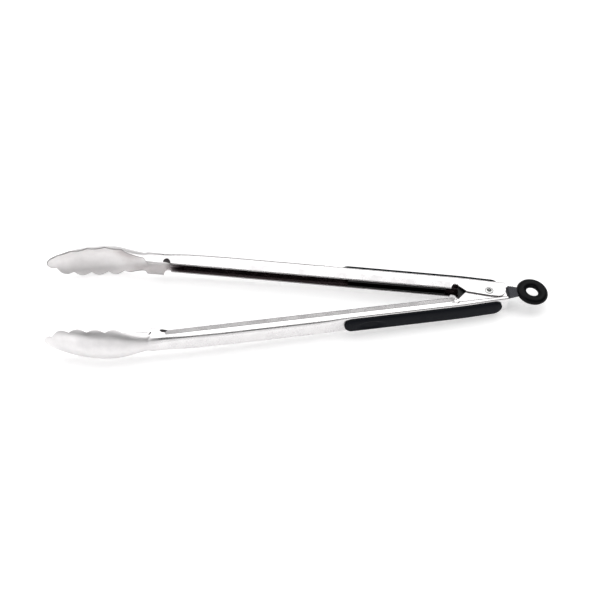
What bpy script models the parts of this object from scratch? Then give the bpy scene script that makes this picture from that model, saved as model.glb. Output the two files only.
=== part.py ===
"""Spring loaded kitchen tongs, lying on their side and sprung open.

Two pressed steel channels with scalloped, dished heads swing on one rivet. A torsion spring on a spool
pushes them apart, a flat lock slider with a rubber pull ring runs between their ears, and each arm
carries a soft grip that is held by a liner snapped into the channel.

World frame: metres, +Z up along the hinge axis, heads towards -X, pull ring towards +X, the outer arm
on the +Y side. The origin is under the middle of the tongs, on the surface that they lie on.

Arm frame (both arms): the rivet's axis is at the origin, the arm runs towards -X and its back faces +Y.
The inner arm is the mirror image of that in Y. "nose" lengths are measured from the tip of the head.
"""
import math

import bmesh
import bpy
from mathutils import Matrix, Vector

MM = 0.001

# --- clearances -----------------------------------------------------------------------------------
GAP = 0.3 * MM              # between pieces that touch in the real tongs
SLIDE_GAP = 0.35 * MM       # each side of the lock slider and between nested ears

# --- opening ---------------------------------------------------------------------------------------
HALF_OPEN = math.radians(7.4)       # each arm's angle to the middle line, sprung open

# --- arms: pressed sheet ----------------------------------------------------------------------------
SHEET = 1.0 * MM                    # sheet thickness
ARM_HALF_WIDTH = 7.8 * MM           # middle plane to the outside of a side wall
BACK_HEIGHT = 12.0 * MM             # rivet axis to the outside of the straight back
HINGE_UNIT = BACK_HEIGHT / 12       # 1 mm on a 12 mm high channel: the walls and ears grow with it
CORNER_RADIUS = 2.0 * MM            # between back and side walls
TAIL_LENGTH = 13.2 * HINGE_UNIT     # rivet axis to the tail end
TAIL_DROP = 1.2 * HINGE_UNIT        # how far the back curves in at the tail
TAIL_DROP_LENGTH = 44.0 * MM
NECK_DISTANCE = 270.0 * MM          # rivet axis to the neck, where the head begins
NECK_DROP = 1.0 * MM                # how far the back curves in at the neck
NECK_DROP_LENGTH = 66.0 * MM
WALL_EDGE = 1.8 * HINGE_UNIT        # arm-frame height of the side walls' free edge
LIP_SLOPE = 0.378                   # how far a lip leans in for each unit of its height
LIP_TOP_GAP = 0.3 * HINGE_UNIT      # between the foot of the ears' step and the lip's bend
LIP_FADE = 3.5 * MM                 # length over which a lip dies away at its ends
LIP_NECK_GAP = 9.5 * MM             # neck to the head end of the lips
LIP_HINGE_END = 27.0 * HINGE_UNIT   # rivet axis to the hinge end of the lips
RELIEF_HALF_LENGTH = 2.9 * MM       # relief notch at each end of a lip
RELIEF_HEIGHT = 2.6 * MM
COLLAR_EDGE = -0.6 * MM             # free edge of the plain wall between neck and lip
COLLAR_LENGTH = 8.0 * MM

# --- ears -------------------------------------------------------------------------------------------
EAR_EDGE = -4.4 * HINGE_UNIT        # free edge of the ears, past the rivet axis
EAR_LEAD_EDGE = -2.6 * HINGE_UNIT   # free edge at the ears' front corner
EAR_FRONT = 17.8 * HINGE_UNIT       # rivet axis to the ears' front corner
EAR_ROOT = 24.5 * HINGE_UNIT        # rivet axis to where the slanted front begins
EAR_ROOT_EDGE = 2.7 * HINGE_UNIT
EAR_CORNER_RADIUS = 6.5 * HINGE_UNIT
JOGGLE_DROP = 3.8 * HINGE_UNIT      # back to where the inner arm's ears step inwards
JOGGLE_FRONT = 33.5 * HINGE_UNIT    # where the step starts, at its top
JOGGLE_SLANT = 1.25                 # its front edge's run along the arm for each unit of height
JOGGLE_WIDTH = 1.6 * HINGE_UNIT     # width of the step

# --- heads ------------------------------------------------------------------------------------------
HEAD_LENGTH = 81.5 * MM             # neck to nose, inner arm
HEAD_STAGGER = 6.8 * MM             # the outer head is longer by half a scallop, so the edges interlock
HEAD_HALF_WIDTH = 16.2 * MM
HEAD_ROUND_LENGTH = 45.0 * MM       # nose to the widest place
HEAD_ROUND_POWER = 2.5              # 2 would be an ellipse; more makes the nose blunter
HEAD_TAPER_START = 50.0 * MM        # nose to where the head starts to narrow to the neck
NOSE_EDGE = -6.3 * MM               # arm-frame height of the nose tip
RIM_RISE = 9.0 * MM                 # rise of the scallops' crests from the nose to the last scallop
RIM_RISE_LENGTH = 57.0 * MM
BOWL_DEPTH = 11.3 * MM              # from the crests to the outside of the bowl
BOWL_DEPTH_LENGTH = 38.0 * MM       # nose to full depth
SCALLOP_PITCH = 13.6 * MM
SCALLOP_DEPTH = 2.3 * MM
SCALLOP_COUNT = 5                   # notches on each side
SCALLOP_FIRST = 6.3 * MM            # nose to the first notch
SCALLOP_STEPS = 4                   # mesh rows in each scallop

# --- rivet, spool and spring --------------------------------------------------------------------------
RIVET_RADIUS = 2.3 * MM
RIVET_HEAD_RADIUS = 3.9 * MM
RIVET_HEAD_HEIGHT = 1.1 * MM
RIVET_ROLL_RADIUS = 3.4 * MM        # the rolled-over hollow end
RIVET_ROLL_HEIGHT = 0.6 * MM
RIVET_BORE_RADIUS = 1.7 * MM
RIVET_BORE_DEPTH = 4.0 * MM
SPOOL_WALL = 1.1 * MM
SPOOL_FLANGE_RADIUS = 5.6 * MM
SPOOL_FLANGE = 0.8 * MM
SPRING_WIRE_SHARE = 0.204           # wire thickness as a share of the room for the coil
SPRING_TURNS = 3                    # whole turns; half a turn more brings the second leg round
SPRING_LEG_REACH = 30.0 * HINGE_UNIT        # rivet axis to the legs' ends

# --- lock slider and pull ring -------------------------------------------------------------------------
SLIDER_TRAVEL = 17.0 * MM           # from pushed in to pulled out
SLIDER_THICKNESS = 1.5 * MM
SLIDER_FRONT = 24.5 * HINGE_UNIT    # rivet axis to the slider's front edge, pushed in
SLIDER_HEAD_END = 8.0 * HINGE_UNIT  # rivet axis to the back of its wide head
SLIDER_SIDE_ROOM = 2.6 * HINGE_UNIT # between its head and an arm's back when the arms are parallel
SLIDER_STOP_GAP = 0.4 * MM          # its waist fills the space between the tails, which stops the opening
SLIDER_CORNER = 2.0 * MM
BLOCK_START = 15.7 * HINGE_UNIT     # thick neck behind the tails
BLOCK_SHARE = 0.745                 # its half width at the tails, as a share of the waist's
BLOCK_END_SHARE = 0.505             # the same at the ring
BLOCK_THICKNESS = 3.2 * MM
BLOCK_RISE = 1.0 * MM               # from the plate's middle up to the neck's
BLOCK_DEPTH = 1.4 * MM              # how far the neck goes into the ring
TONGUE_HALF_WIDTH = 2.6 * MM        # goes further into the ring
TONGUE_DEPTH = 4.6 * MM
RING_CENTRE = 35.2 * MM             # rivet axis to the ring's centre
RING_MEAN_RADIUS = 8.8 * MM
RING_RADIAL_RADIUS = 4.1 * MM       # of the section, across the ring
RING_HALF_THICKNESS = 3.05 * MM     # of the section, along the ring's axis
RING_TILT = math.radians(5.0)       # the soft ring hangs down a little at its far side

# --- grips and liners ------------------------------------------------------------------------------------
GRIP_FRONT = 120.0 * MM             # rivet axis to the grip's end towards the head
GRIP_REAR = 8.5 * MM                # rivet axis to the grip's end past the hinge
GRIP_HALF_WIDTH = 6.7 * MM
GRIP_HEIGHT = 2.7 * MM
GRIP_EDGE_HEIGHT = 1.1 * MM
LINER_FRONT = 113.0 * MM
LINER_REAR = 34.0 * HINGE_UNIT
LINER_WALL = 1.2 * MM
STUD_RADIUS = 2.0 * MM
STUD_REACH = 0.9 * MM               # how far a stud goes into the grip
STUD_PLACES = (100.0 * MM, 50.0 * MM)
SOCKET_DEPTH = STUD_REACH + GAP

# --- sizes that follow -------------------------------------------------------------------------------------
LIP_HEAD_END = NECK_DISTANCE - LIP_NECK_GAP
JOGGLE_TOP = BACK_HEIGHT - JOGGLE_DROP
LIP_LENGTH = JOGGLE_TOP - JOGGLE_WIDTH - LIP_TOP_GAP - WALL_EDGE
LIP_LEAN = LIP_SLOPE * LIP_LENGTH
TAIL_INSIDE = (BACK_HEIGHT - TAIL_DROP - SHEET) * math.cos(HALF_OPEN) - TAIL_LENGTH * math.sin(HALF_OPEN)
SLIDER_WAIST_HALF_WIDTH = TAIL_INSIDE - SLIDER_STOP_GAP
SLIDER_HEAD_HALF_WIDTH = BACK_HEIGHT - SHEET - SLIDER_SIDE_ROOM
BLOCK_HALF_WIDTH = BLOCK_SHARE * SLIDER_WAIST_HALF_WIDTH
BLOCK_END_HALF_WIDTH = BLOCK_END_SHARE * SLIDER_WAIST_HALF_WIDTH
OUTER_EAR_INSIDE = ARM_HALF_WIDTH - SHEET
INNER_EAR_OUTSIDE = OUTER_EAR_INSIDE - SLIDE_GAP
INNER_EAR_INSIDE = INNER_EAR_OUTSIDE - SHEET
JOGGLE_DEPTH = ARM_HALF_WIDTH - INNER_EAR_OUTSIDE
SLIDER_TOP = INNER_EAR_INSIDE - SLIDE_GAP
BLOCK_MIDDLE = SLIDER_TOP - SLIDER_THICKNESS / 2 + BLOCK_RISE
SPOOL_TOP = SLIDER_TOP - SLIDER_THICKNESS - GAP
SPOOL_BOTTOM = -INNER_EAR_INSIDE + GAP
COIL_BOTTOM = SPOOL_BOTTOM + SPOOL_FLANGE + GAP
SPRING_WIRE = SPRING_WIRE_SHARE * (SPOOL_TOP - COIL_BOTTOM)
SPOOL_BORE_RADIUS = RIVET_RADIUS + GAP
SPOOL_RADIUS = SPOOL_BORE_RADIUS + SPOOL_WALL
COIL_RADIUS = SPOOL_RADIUS + GAP + SPRING_WIRE / 2
GRIP_LENGTH = GRIP_FRONT + GRIP_REAR
OUTER_NOSE = NECK_DISTANCE + HEAD_LENGTH + HEAD_STAGGER
OUTER_NOSE_REACH = OUTER_NOSE * math.cos(HALF_OPEN) - NOSE_EDGE * math.sin(HALF_OPEN)
RING_REACH = RING_CENTRE + RING_MEAN_RADIUS + RING_RADIAL_RADIUS
RING_START = RING_CENTRE - RING_MEAN_RADIUS - RING_RADIAL_RADIUS
HINGE_PLACE = Vector(((OUTER_NOSE_REACH - RING_REACH) / 2, 0, HEAD_HALF_WIDTH))

OBJECT_NAME = "kitchen_tongs"


# ============================================ helpers ==================================================
def clear_scene():
    """Remove every object of the open file."""
    for item in list(bpy.data.objects):
        bpy.data.objects.remove(item, do_unlink=True)


def make_collection(name):
    """Return a new collection linked to the scene."""
    group = bpy.data.collections.new(name)
    bpy.context.scene.collection.children.link(group)
    return group


def ease(start, end, value):
    """Smooth step from 0 at start to 1 at end."""
    t = min(max((value - start) / (end - start), 0.0), 1.0)
    return t * t * (3 - 2 * t)


def mix(a, b, t):
    """Value between a and b."""
    return a + (b - a) * t


def make_material(name, colour, roughness, metallic):
    """Principled material with one colour."""
    material = bpy.data.materials.new(name)
    material.use_nodes = True
    shader = material.node_tree.nodes["Principled BSDF"]
    shader.inputs["Base Color"].default_value = (*colour, 1)
    shader.inputs["Roughness"].default_value = roughness
    shader.inputs["Metallic"].default_value = metallic
    return material


def mesh_object(name, bm, group, axis, material=None, smooth_angle=None):
    """Turn a bmesh into an object that hangs on an axis empty."""
    mesh = bpy.data.meshes.new(name)
    bm.to_mesh(mesh)
    bm.free()
    item = bpy.data.objects.new(name, mesh)
    group.objects.link(item)
    item.parent = axis
    if material:
        mesh.materials.append(material)
    if smooth_angle is not None:
        mesh.shade_smooth()
        mesh.set_sharp_from_angle(angle=math.radians(smooth_angle))
    return item


def solidify(item, thickness):
    """Give an open sheet its thickness, on the side away from its normals."""
    modifier = item.modifiers.new("thickness", "SOLIDIFY")
    modifier.thickness = thickness
    modifier.offset = -1
    modifier.use_even_offset = True


def boolean(item, tool, operation):
    """Cut or join with an exact boolean."""
    modifier = item.modifiers.new(tool.name, "BOOLEAN")
    modifier.operation = operation
    modifier.solver = "EXACT"
    modifier.object = tool


def hide_tool(item):
    """Mark an object as a cutter or guide."""
    item.hide_render = True
    item.display_type = "WIRE"


def cylinder(name, radius, bottom, top, group, axis, place=(0, 0), direction="Z", segments=32):
    """Closed cylinder along Z or Y between two heights, centred at place across that direction.

    It is turned by half a facet, so that none of its corners lies on the arms' middle line.
    """
    bm = bmesh.new()
    bmesh.ops.create_cone(bm, cap_ends=True, segments=segments, radius1=radius, radius2=radius,
                          depth=top - bottom)
    bmesh.ops.rotate(bm, verts=bm.verts, matrix=Matrix.Rotation(math.pi / segments, 3, "Z"))
    bmesh.ops.translate(bm, verts=bm.verts, vec=(0, 0, (top + bottom) / 2))
    if direction == "Y":
        bmesh.ops.rotate(bm, verts=bm.verts, matrix=Matrix.Rotation(-math.pi / 2, 3, "X"))
        bmesh.ops.translate(bm, verts=bm.verts, vec=(place[0], 0, place[1]))
    else:
        bmesh.ops.translate(bm, verts=bm.verts, vec=(place[0], place[1], 0))
    return mesh_object(name, bm, group, axis, smooth_angle=30)


def extruded_outline(name, points, bottom, top, group, axis):
    """Solid plate from a flat outline in the XY plane, filled as a 2D curve and made a mesh."""
    curve = bpy.data.curves.new(name + "_outline", "CURVE")
    curve.dimensions = "2D"
    curve.fill_mode = "BOTH"
    curve.extrude = (top - bottom) / 2
    spline = curve.splines.new("POLY")
    spline.points.add(len(points) - 1)
    for point, place in zip(spline.points, points):
        point.co = (place[0], place[1], 0, 1)
    spline.use_cyclic_u = True
    guide = bpy.data.objects.new(name + "_outline", curve)
    group.objects.link(guide)
    bpy.context.view_layer.update()
    evaluated = guide.evaluated_get(bpy.context.evaluated_depsgraph_get())
    mesh = bpy.data.meshes.new_from_object(evaluated)
    bm = bmesh.new()
    bm.from_mesh(mesh)
    bpy.data.objects.remove(guide, do_unlink=True)
    bmesh.ops.remove_doubles(bm, verts=bm.verts, dist=0.00001)
    bmesh.ops.translate(bm, verts=bm.verts, vec=(0, 0, (top + bottom) / 2))
    bmesh.ops.recalc_face_normals(bm, faces=bm.faces)
    return mesh_object(name, bm, group, axis)


def rounded_polygon(corners, steps=4):
    """Outline through (x, y, radius) corners, each rounded by its own radius."""
    outline = []
    count = len(corners)
    for index, (x, y, radius) in enumerate(corners):
        here = Vector((x, y))
        before = Vector(corners[index - 1][:2]) - here
        after = Vector(corners[(index + 1) % count][:2]) - here
        if radius == 0:
            outline.append(here)
            continue
        half = before.angle(after) / 2
        reach = radius / math.tan(half)
        centre = here + (before.normalized() + after.normalized()).normalized() * radius / math.sin(half)
        start = here + before.normalized() * reach - centre
        sweep = start.angle_signed(here + after.normalized() * reach - centre)
        for step in range(steps + 1):
            turned = Matrix.Rotation(-sweep * step / steps, 2) @ start
            outline.append(centre + turned)
    return outline


def loft(name, sections, group, axis, material, mirror_y=False, closed=False, caps=False, smooth_angle=35):
    """Surface through sections of equal point count; a section may be a single repeated point."""
    bm = bmesh.new()
    side = -1 if mirror_y else 1
    rows = [[bm.verts.new((x, y * side, z)) for x, y, z in section] for section in sections]
    for first, second in zip(rows, rows[1:]):
        pairs = len(first) if closed else len(first) - 1
        for index in range(pairs):
            following = (index + 1) % len(first)
            bm.faces.new((first[index], first[following], second[following], second[index]))
    if caps:
        bm.faces.new(rows[0])
        bm.faces.new(list(reversed(rows[-1])))
    bmesh.ops.remove_doubles(bm, verts=bm.verts, dist=0.000005)
    if closed:
        bmesh.ops.recalc_face_normals(bm, faces=bm.faces)
    elif mirror_y:
        bmesh.ops.reverse_faces(bm, faces=bm.faces)
    return mesh_object(name, bm, group, axis, material, smooth_angle)


# ============================================ arms ======================================================
BACK_STEPS = 2
CORNER_STEPS = 2
WALL_STEPS = 3
EDGE_STEPS = 2
HALF_STEPS = BACK_STEPS + CORNER_STEPS + WALL_STEPS + EDGE_STEPS


def back_height(x):
    """Outside of the back between tail and neck."""
    tail = TAIL_DROP * ease(TAIL_LENGTH - TAIL_DROP_LENGTH, TAIL_LENGTH, x)
    neck = NECK_DROP * ease(-NECK_DISTANCE + NECK_DROP_LENGTH, -NECK_DISTANCE + 4 * MM, x)
    return BACK_HEIGHT - tail - neck


def ear_edge(x):
    """Free edge of an ear, with its slanted front and its rounded rear corner."""
    if x < -EAR_FRONT:
        t = (x + EAR_ROOT) / (EAR_ROOT - EAR_FRONT)
        return mix(EAR_ROOT_EDGE, EAR_LEAD_EDGE, min(max(t, 0), 1))
    edge = mix(EAR_LEAD_EDGE, EAR_EDGE, min((x + EAR_FRONT) / EAR_FRONT, 1))
    into_corner = x - (TAIL_LENGTH - EAR_CORNER_RADIUS)
    if into_corner > 0:
        edge += EAR_CORNER_RADIUS - math.sqrt(max(EAR_CORNER_RADIUS ** 2 - into_corner ** 2, 0))
    return edge


def wall_edge(x):
    """Free edge of the side walls from tail to neck."""
    if x > -LIP_HINGE_END:
        return ear_edge(x)
    if x > -LIP_HEAD_END:
        return WALL_EDGE
    return COLLAR_EDGE


def lip_share(x):
    """1 where the walls have a full lip, 0 where they are flat."""
    hinge = ease(-LIP_HINGE_END, -LIP_HINGE_END - LIP_FADE, x)
    head = ease(-LIP_HEAD_END, -LIP_HEAD_END + LIP_FADE, x)
    return min(hinge, head)


def joggle(x, y):
    """How far an inner ear is stepped inwards at a place on the side wall."""
    front = -JOGGLE_FRONT + (JOGGLE_TOP - y) * JOGGLE_SLANT
    along = ease(front, front + JOGGLE_WIDTH * 1.6, x)
    down = ease(JOGGLE_TOP, JOGGLE_TOP - JOGGLE_WIDTH, y)
    return JOGGLE_DEPTH * min(along, down)


def channel_half(x, back, edge, half_width, inner):
    """Half of the channel section from the middle of the back to the wall's free edge, as (y, z)."""
    radius = CORNER_RADIUS
    points = [(back, (half_width - radius) * step / BACK_STEPS) for step in range(BACK_STEPS)]
    for step in range(CORNER_STEPS + 1):
        angle = math.pi / 2 * step / CORNER_STEPS
        points.append((back - radius + radius * math.cos(angle),
                       half_width - radius + radius * math.sin(angle)))
    bend = WALL_EDGE + LIP_LENGTH
    start = back - radius
    for height in (JOGGLE_TOP, JOGGLE_TOP - JOGGLE_WIDTH, bend):
        points.append((min(height, start - 0.1 * MM), half_width))
    for step in range(1, EDGE_STEPS + 1):
        points.append((mix(points[BACK_STEPS + CORNER_STEPS + WALL_STEPS][0], edge, step / EDGE_STEPS),
                       half_width))
    lean = LIP_LEAN * lip_share(x) / LIP_LENGTH
    shaped = []
    for y, z in points:
        if z > half_width - 0.01 * MM:
            z -= lean * max(bend - y, 0)
            if inner:
                z -= joggle(x, y)
        shaped.append((y, z))
    return shaped


def rim_height(nose, crest_only=False):
    """Free edge of the head at a distance from the nose."""
    crest = NOSE_EDGE + RIM_RISE * ease(0, RIM_RISE_LENGTH, nose)
    if crest_only:
        return crest
    last = SCALLOP_FIRST + SCALLOP_PITCH * (SCALLOP_COUNT - 1)
    if nose < SCALLOP_FIRST:
        notch = 1 - math.cos(math.pi / 2 * nose / SCALLOP_FIRST)
    elif nose < last + SCALLOP_PITCH / 2:
        notch = 1 - abs(math.sin(math.pi * (nose - SCALLOP_FIRST) / SCALLOP_PITCH))
    else:
        notch = 0
    return crest + SCALLOP_DEPTH * notch


def head_half_width(nose):
    """Half width of the head's outline at a distance from the nose."""
    if nose < HEAD_ROUND_LENGTH:
        share = 1 - nose / HEAD_ROUND_LENGTH
        return HEAD_HALF_WIDTH * math.sqrt(1 - share ** HEAD_ROUND_POWER)
    return mix(HEAD_HALF_WIDTH, ARM_HALF_WIDTH, ease(HEAD_TAPER_START, HEAD_LENGTH, nose))


def bowl_half(nose):
    """Half of the bowl's section, a circular arc from the middle of its back to the rim."""
    half_width = head_half_width(nose)
    rim = rim_height(nose)
    crest = rim_height(nose, crest_only=True)
    if nose == 0:
        return [(crest, 0)] * (HALF_STEPS + 1)
    share = min(nose / BOWL_DEPTH_LENGTH, 1)
    depth = BOWL_DEPTH * (1 - (1 - share) ** 2) ** 0.75
    radius = (half_width ** 2 + depth ** 2) / (2 * depth)
    full_angle = math.atan2(half_width, radius - depth)
    rim_angle = math.acos(min(max((rim - crest - depth + radius) / radius, -1), 1))
    angle = min(rim_angle, full_angle)
    return [(crest + depth - radius + radius * math.cos(angle * step / HALF_STEPS),
             radius * math.sin(angle * step / HALF_STEPS)) for step in range(HALF_STEPS + 1)]


def head_half(x, nose, inner):
    """Half section of the head, which runs from the bowl into the channel at the neck."""
    bowl = bowl_half(nose)
    share = ease(HEAD_TAPER_START + 8 * MM, HEAD_LENGTH, nose)
    if share == 0:
        return bowl
    neck_back = mix(bowl[0][0], BACK_HEIGHT - NECK_DROP, share)
    neck_edge = mix(rim_height(nose), COLLAR_EDGE, share)
    channel = channel_half(x, neck_back, neck_edge, head_half_width(nose), inner)
    return [(mix(a[0], b[0], share), mix(a[1], b[1], share)) for a, b in zip(bowl, channel)]


def arm_stations():
    """Places along the arm, from the tail to the neck, where its section is set."""
    corner = [TAIL_LENGTH - EAR_CORNER_RADIUS * (1 - math.sin(math.radians(a))) for a in (90, 70, 45, 20, 0)]
    hinge = [mix(3 * HINGE_UNIT, -EAR_FRONT, step / 3) for step in range(4)]
    hinge += [mix(-EAR_FRONT, -EAR_ROOT, step / 3) for step in range(1, 4)]
    hinge += [-LIP_HINGE_END + 0.6 * MM, -LIP_HINGE_END - 0.6 * MM, -LIP_HINGE_END - 2 * MM,
              -LIP_HINGE_END - LIP_FADE]
    first = -NECK_DISTANCE + NECK_DROP_LENGTH
    middle = [mix(-LIP_HINGE_END - 6 * MM, first, step / 4) for step in range(4)]
    middle += [mix(first, -LIP_HEAD_END + LIP_FADE, step / 4) for step in range(5)]
    lip_end = [-LIP_HEAD_END + 1.8 * MM, -LIP_HEAD_END + 0.6 * MM, -LIP_HEAD_END - 0.6 * MM,
               -LIP_HEAD_END - 3 * MM, -LIP_HEAD_END - 5.5 * MM, -LIP_HEAD_END - COLLAR_LENGTH]
    return corner + hinge + middle + lip_end


def head_stations(head_length):
    """Distances from the nose, from the neck to the nose."""
    places = [SCALLOP_FIRST + SCALLOP_PITCH * step / SCALLOP_STEPS
              for step in range((SCALLOP_COUNT - 1) * SCALLOP_STEPS + SCALLOP_STEPS // 2 + 1)]
    last = places[-1]
    places += [mix(last, head_length, step / 5) for step in range(1, 5)]
    places += [SCALLOP_FIRST * share for share in (0.0, 0.06, 0.2, 0.42, 0.7)]
    return sorted(places, reverse=True)


def full_section(x, half):
    """Whole section from one free edge to the other, from its half."""
    return [(x, y, z) for y, z in reversed(half)] + [(x, y, -z) for y, z in half[1:]]


def relief_cutter(name, distance, cutters, axis, side):
    """Oval bar through both side walls that frees the end of a lip."""
    bm = bmesh.new()
    bmesh.ops.create_cone(bm, cap_ends=True, segments=24, radius1=1, radius2=1, depth=2)
    bmesh.ops.scale(bm, verts=bm.verts, vec=(RELIEF_HALF_LENGTH, RELIEF_HEIGHT, ARM_HALF_WIDTH * 1.5))
    bmesh.ops.translate(bm, verts=bm.verts, vec=(-distance, side * WALL_EDGE, 0))
    tool = mesh_object(name, bm, cutters, axis)
    hide_tool(tool)
    return tool


def make_arm(name, head_length, inner, group, cutters, axis, steel):
    """One pressed arm: channel, ears, lips, neck and scalloped head."""
    sections = [full_section(x, channel_half(x, back_height(x), wall_edge(x), ARM_HALF_WIDTH, inner))
                for x in arm_stations()]
    for nose in head_stations(head_length):
        x = -(NECK_DISTANCE + head_length - nose)
        sections.append(full_section(x, head_half(x, nose, inner)))
    arm = loft(name, sections, group, axis, steel, mirror_y=inner)
    solidify(arm, SHEET)
    side = -1 if inner else 1
    hole = cylinder(name + "_rivet_hole", RIVET_RADIUS + GAP, -2 * ARM_HALF_WIDTH, 2 * ARM_HALF_WIDTH,
                    cutters, axis)
    hide_tool(hole)
    boolean(arm, hole, "DIFFERENCE")
    for label, distance in (("hinge_relief", LIP_HINGE_END), ("head_relief", LIP_HEAD_END)):
        tool = relief_cutter(name + "_" + label, distance, cutters, axis, side)
        boolean(arm, tool, "DIFFERENCE")
    for index, distance in enumerate(STUD_PLACES):
        ends = sorted((side * (BACK_HEIGHT - 3 * SHEET), side * (BACK_HEIGHT + 3 * SHEET)))
        tool = cylinder(f"{name}_stud_hole_{index + 1}", STUD_RADIUS + GAP, *ends, cutters, axis,
                        place=(-distance, 0), direction="Y", segments=20)
        hide_tool(tool)
        boolean(arm, tool, "DIFFERENCE")
    return arm


# ============================================ grips ======================================================
def make_grip(name, inner, group, cutters, axis, rubber):
    """Soft pad with round ends and a crowned top, seated on the arm's back."""
    side = -1 if inner else 1
    rounds = [GRIP_HALF_WIDTH * (1 - math.cos(math.radians(a))) for a in (8, 25, 45, 65, 90)]
    inner_length = GRIP_LENGTH - 2 * GRIP_HALF_WIDTH
    along = rounds + [GRIP_HALF_WIDTH + inner_length * step / 10 for step in range(1, 10)]
    along += [GRIP_LENGTH - place for place in reversed(rounds)]
    sections = []
    for place in along:
        into_end = min(place, GRIP_LENGTH - place, GRIP_HALF_WIDTH)
        share = math.sqrt(1 - (1 - into_end / GRIP_HALF_WIDTH) ** 2)
        width = GRIP_HALF_WIDTH * share
        x = -GRIP_FRONT + place
        seat = back_height(x) + GAP
        crown = mix(GRIP_EDGE_HEIGHT, GRIP_HEIGHT, share)
        section = [(x, seat, width * z) for z in (-0.93, 0.93)]
        for angle in range(0, 181, 20):
            turn = math.radians(angle)
            z = width * math.copysign(abs(math.cos(turn)) ** 0.7, math.cos(turn))
            section.append((x, seat + 0.35 * MM + (crown - 0.35 * MM) * math.sin(turn) ** 0.6, z))
        sections.append(section)
    grip = loft(name, sections, group, axis, rubber, mirror_y=inner, closed=True, caps=True)
    for index, distance in enumerate(STUD_PLACES):
        seat = back_height(-distance) + GAP
        ends = sorted((side * (seat - 1 * MM), side * (seat + SOCKET_DEPTH)))
        tool = cylinder(f"{name}_socket_{index + 1}", STUD_RADIUS + GAP, *ends, cutters, axis,
                        place=(-distance, 0), direction="Y", segments=20)
        hide_tool(tool)
        boolean(grip, tool, "DIFFERENCE")
    return grip


def make_liner(name, inner, group, cutters, axis, nylon):
    """Channel-shaped liner inside the arm, with studs through the back into the grip."""
    side = -1 if inner else 1
    top = BACK_HEIGHT - SHEET - GAP
    wide = ARM_HALF_WIDTH - SHEET - GAP
    bend = WALL_EDGE + LIP_LENGTH + GAP
    low = WALL_EDGE + GAP
    narrow = wide - LIP_LEAN * (bend - low) / LIP_LENGTH - 0.1 * MM
    wall = LINER_WALL
    half = [(top, wide - 1 * MM), (top - 1 * MM, wide), (bend, wide), (low, narrow),
            (low, narrow - wall), (bend - 0.3 * MM, wide - wall), (top - wall, wide - wall)]
    outline = [(y, z) for y, z in half] + [(y, -z) for y, z in reversed(half)]
    sections = [[(x, y, z) for y, z in outline] for x in (-LINER_FRONT, -LINER_REAR)]
    liner = loft(name, sections, group, axis, nylon, mirror_y=inner, closed=True, caps=True, smooth_angle=20)
    for index, distance in enumerate(STUD_PLACES):
        reach = BACK_HEIGHT + GAP + STUD_REACH
        ends = sorted((side * (top - wall / 2), side * reach))
        tool = cylinder(f"{name}_stud_{index + 1}", STUD_RADIUS, *ends, cutters, axis,
                        place=(-distance, 0), direction="Y", segments=20)
        hide_tool(tool)
        boolean(liner, tool, "UNION")
    return liner


# ============================================ hinge ======================================================
def turned(name, profile, group, axis, material, segments=36):
    """Turned piece from an (radius, height) profile that runs from top to bottom on its outer side."""
    mesh = bpy.data.meshes.new(name)
    points = [(radius, 0, height) for radius, height in profile]
    mesh.from_pydata(points, [(i, i + 1) for i in range(len(points) - 1)], [])
    item = bpy.data.objects.new(name, mesh)
    group.objects.link(item)
    item.parent = axis
    mesh.materials.append(material)
    modifier = item.modifiers.new("turn", "SCREW")
    modifier.axis = "Z"
    modifier.steps = segments
    modifier.render_steps = segments
    modifier.use_merge_vertices = True
    modifier.merge_threshold = 0.00001
    modifier.use_smooth_shade = True
    return item


def make_rivet(group, axis, steel):
    """Semi-tubular rivet: a domed head below, a rolled hollow end above."""
    face = ARM_HALF_WIDTH + GAP / 2
    top = face + RIVET_ROLL_HEIGHT
    bottom = -face - RIVET_HEAD_HEIGHT
    profile = [(0, top - RIVET_BORE_DEPTH), (RIVET_BORE_RADIUS, top - RIVET_BORE_DEPTH),
               (RIVET_BORE_RADIUS, top - 0.35 * MM), (RIVET_BORE_RADIUS + 0.35 * MM, top),
               (RIVET_ROLL_RADIUS - 0.35 * MM, top - 0.1 * MM), (RIVET_ROLL_RADIUS, face + 0.15 * MM),
               (RIVET_ROLL_RADIUS, face), (RIVET_RADIUS, face), (RIVET_RADIUS, -face),
               (RIVET_HEAD_RADIUS, -face), (RIVET_HEAD_RADIUS, -face - 0.3 * MM),
               (RIVET_HEAD_RADIUS * 0.75, bottom + 0.25 * MM), (RIVET_HEAD_RADIUS * 0.4, bottom), (0, bottom)]
    return turned("hinge_rivet", profile, group, axis, steel)


def make_spool(group, axis, nylon):
    """Sleeve round the rivet with one flange, which carries the coil."""
    profile = [(SPOOL_BORE_RADIUS, SPOOL_TOP), (SPOOL_RADIUS, SPOOL_TOP),
               (SPOOL_RADIUS, SPOOL_BOTTOM + SPOOL_FLANGE), (SPOOL_FLANGE_RADIUS, SPOOL_BOTTOM + SPOOL_FLANGE),
               (SPOOL_FLANGE_RADIUS, SPOOL_BOTTOM), (SPOOL_BORE_RADIUS, SPOOL_BOTTOM),
               (SPOOL_BORE_RADIUS, SPOOL_TOP)]
    return turned("spring_spool", profile, group, axis, nylon)


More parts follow.
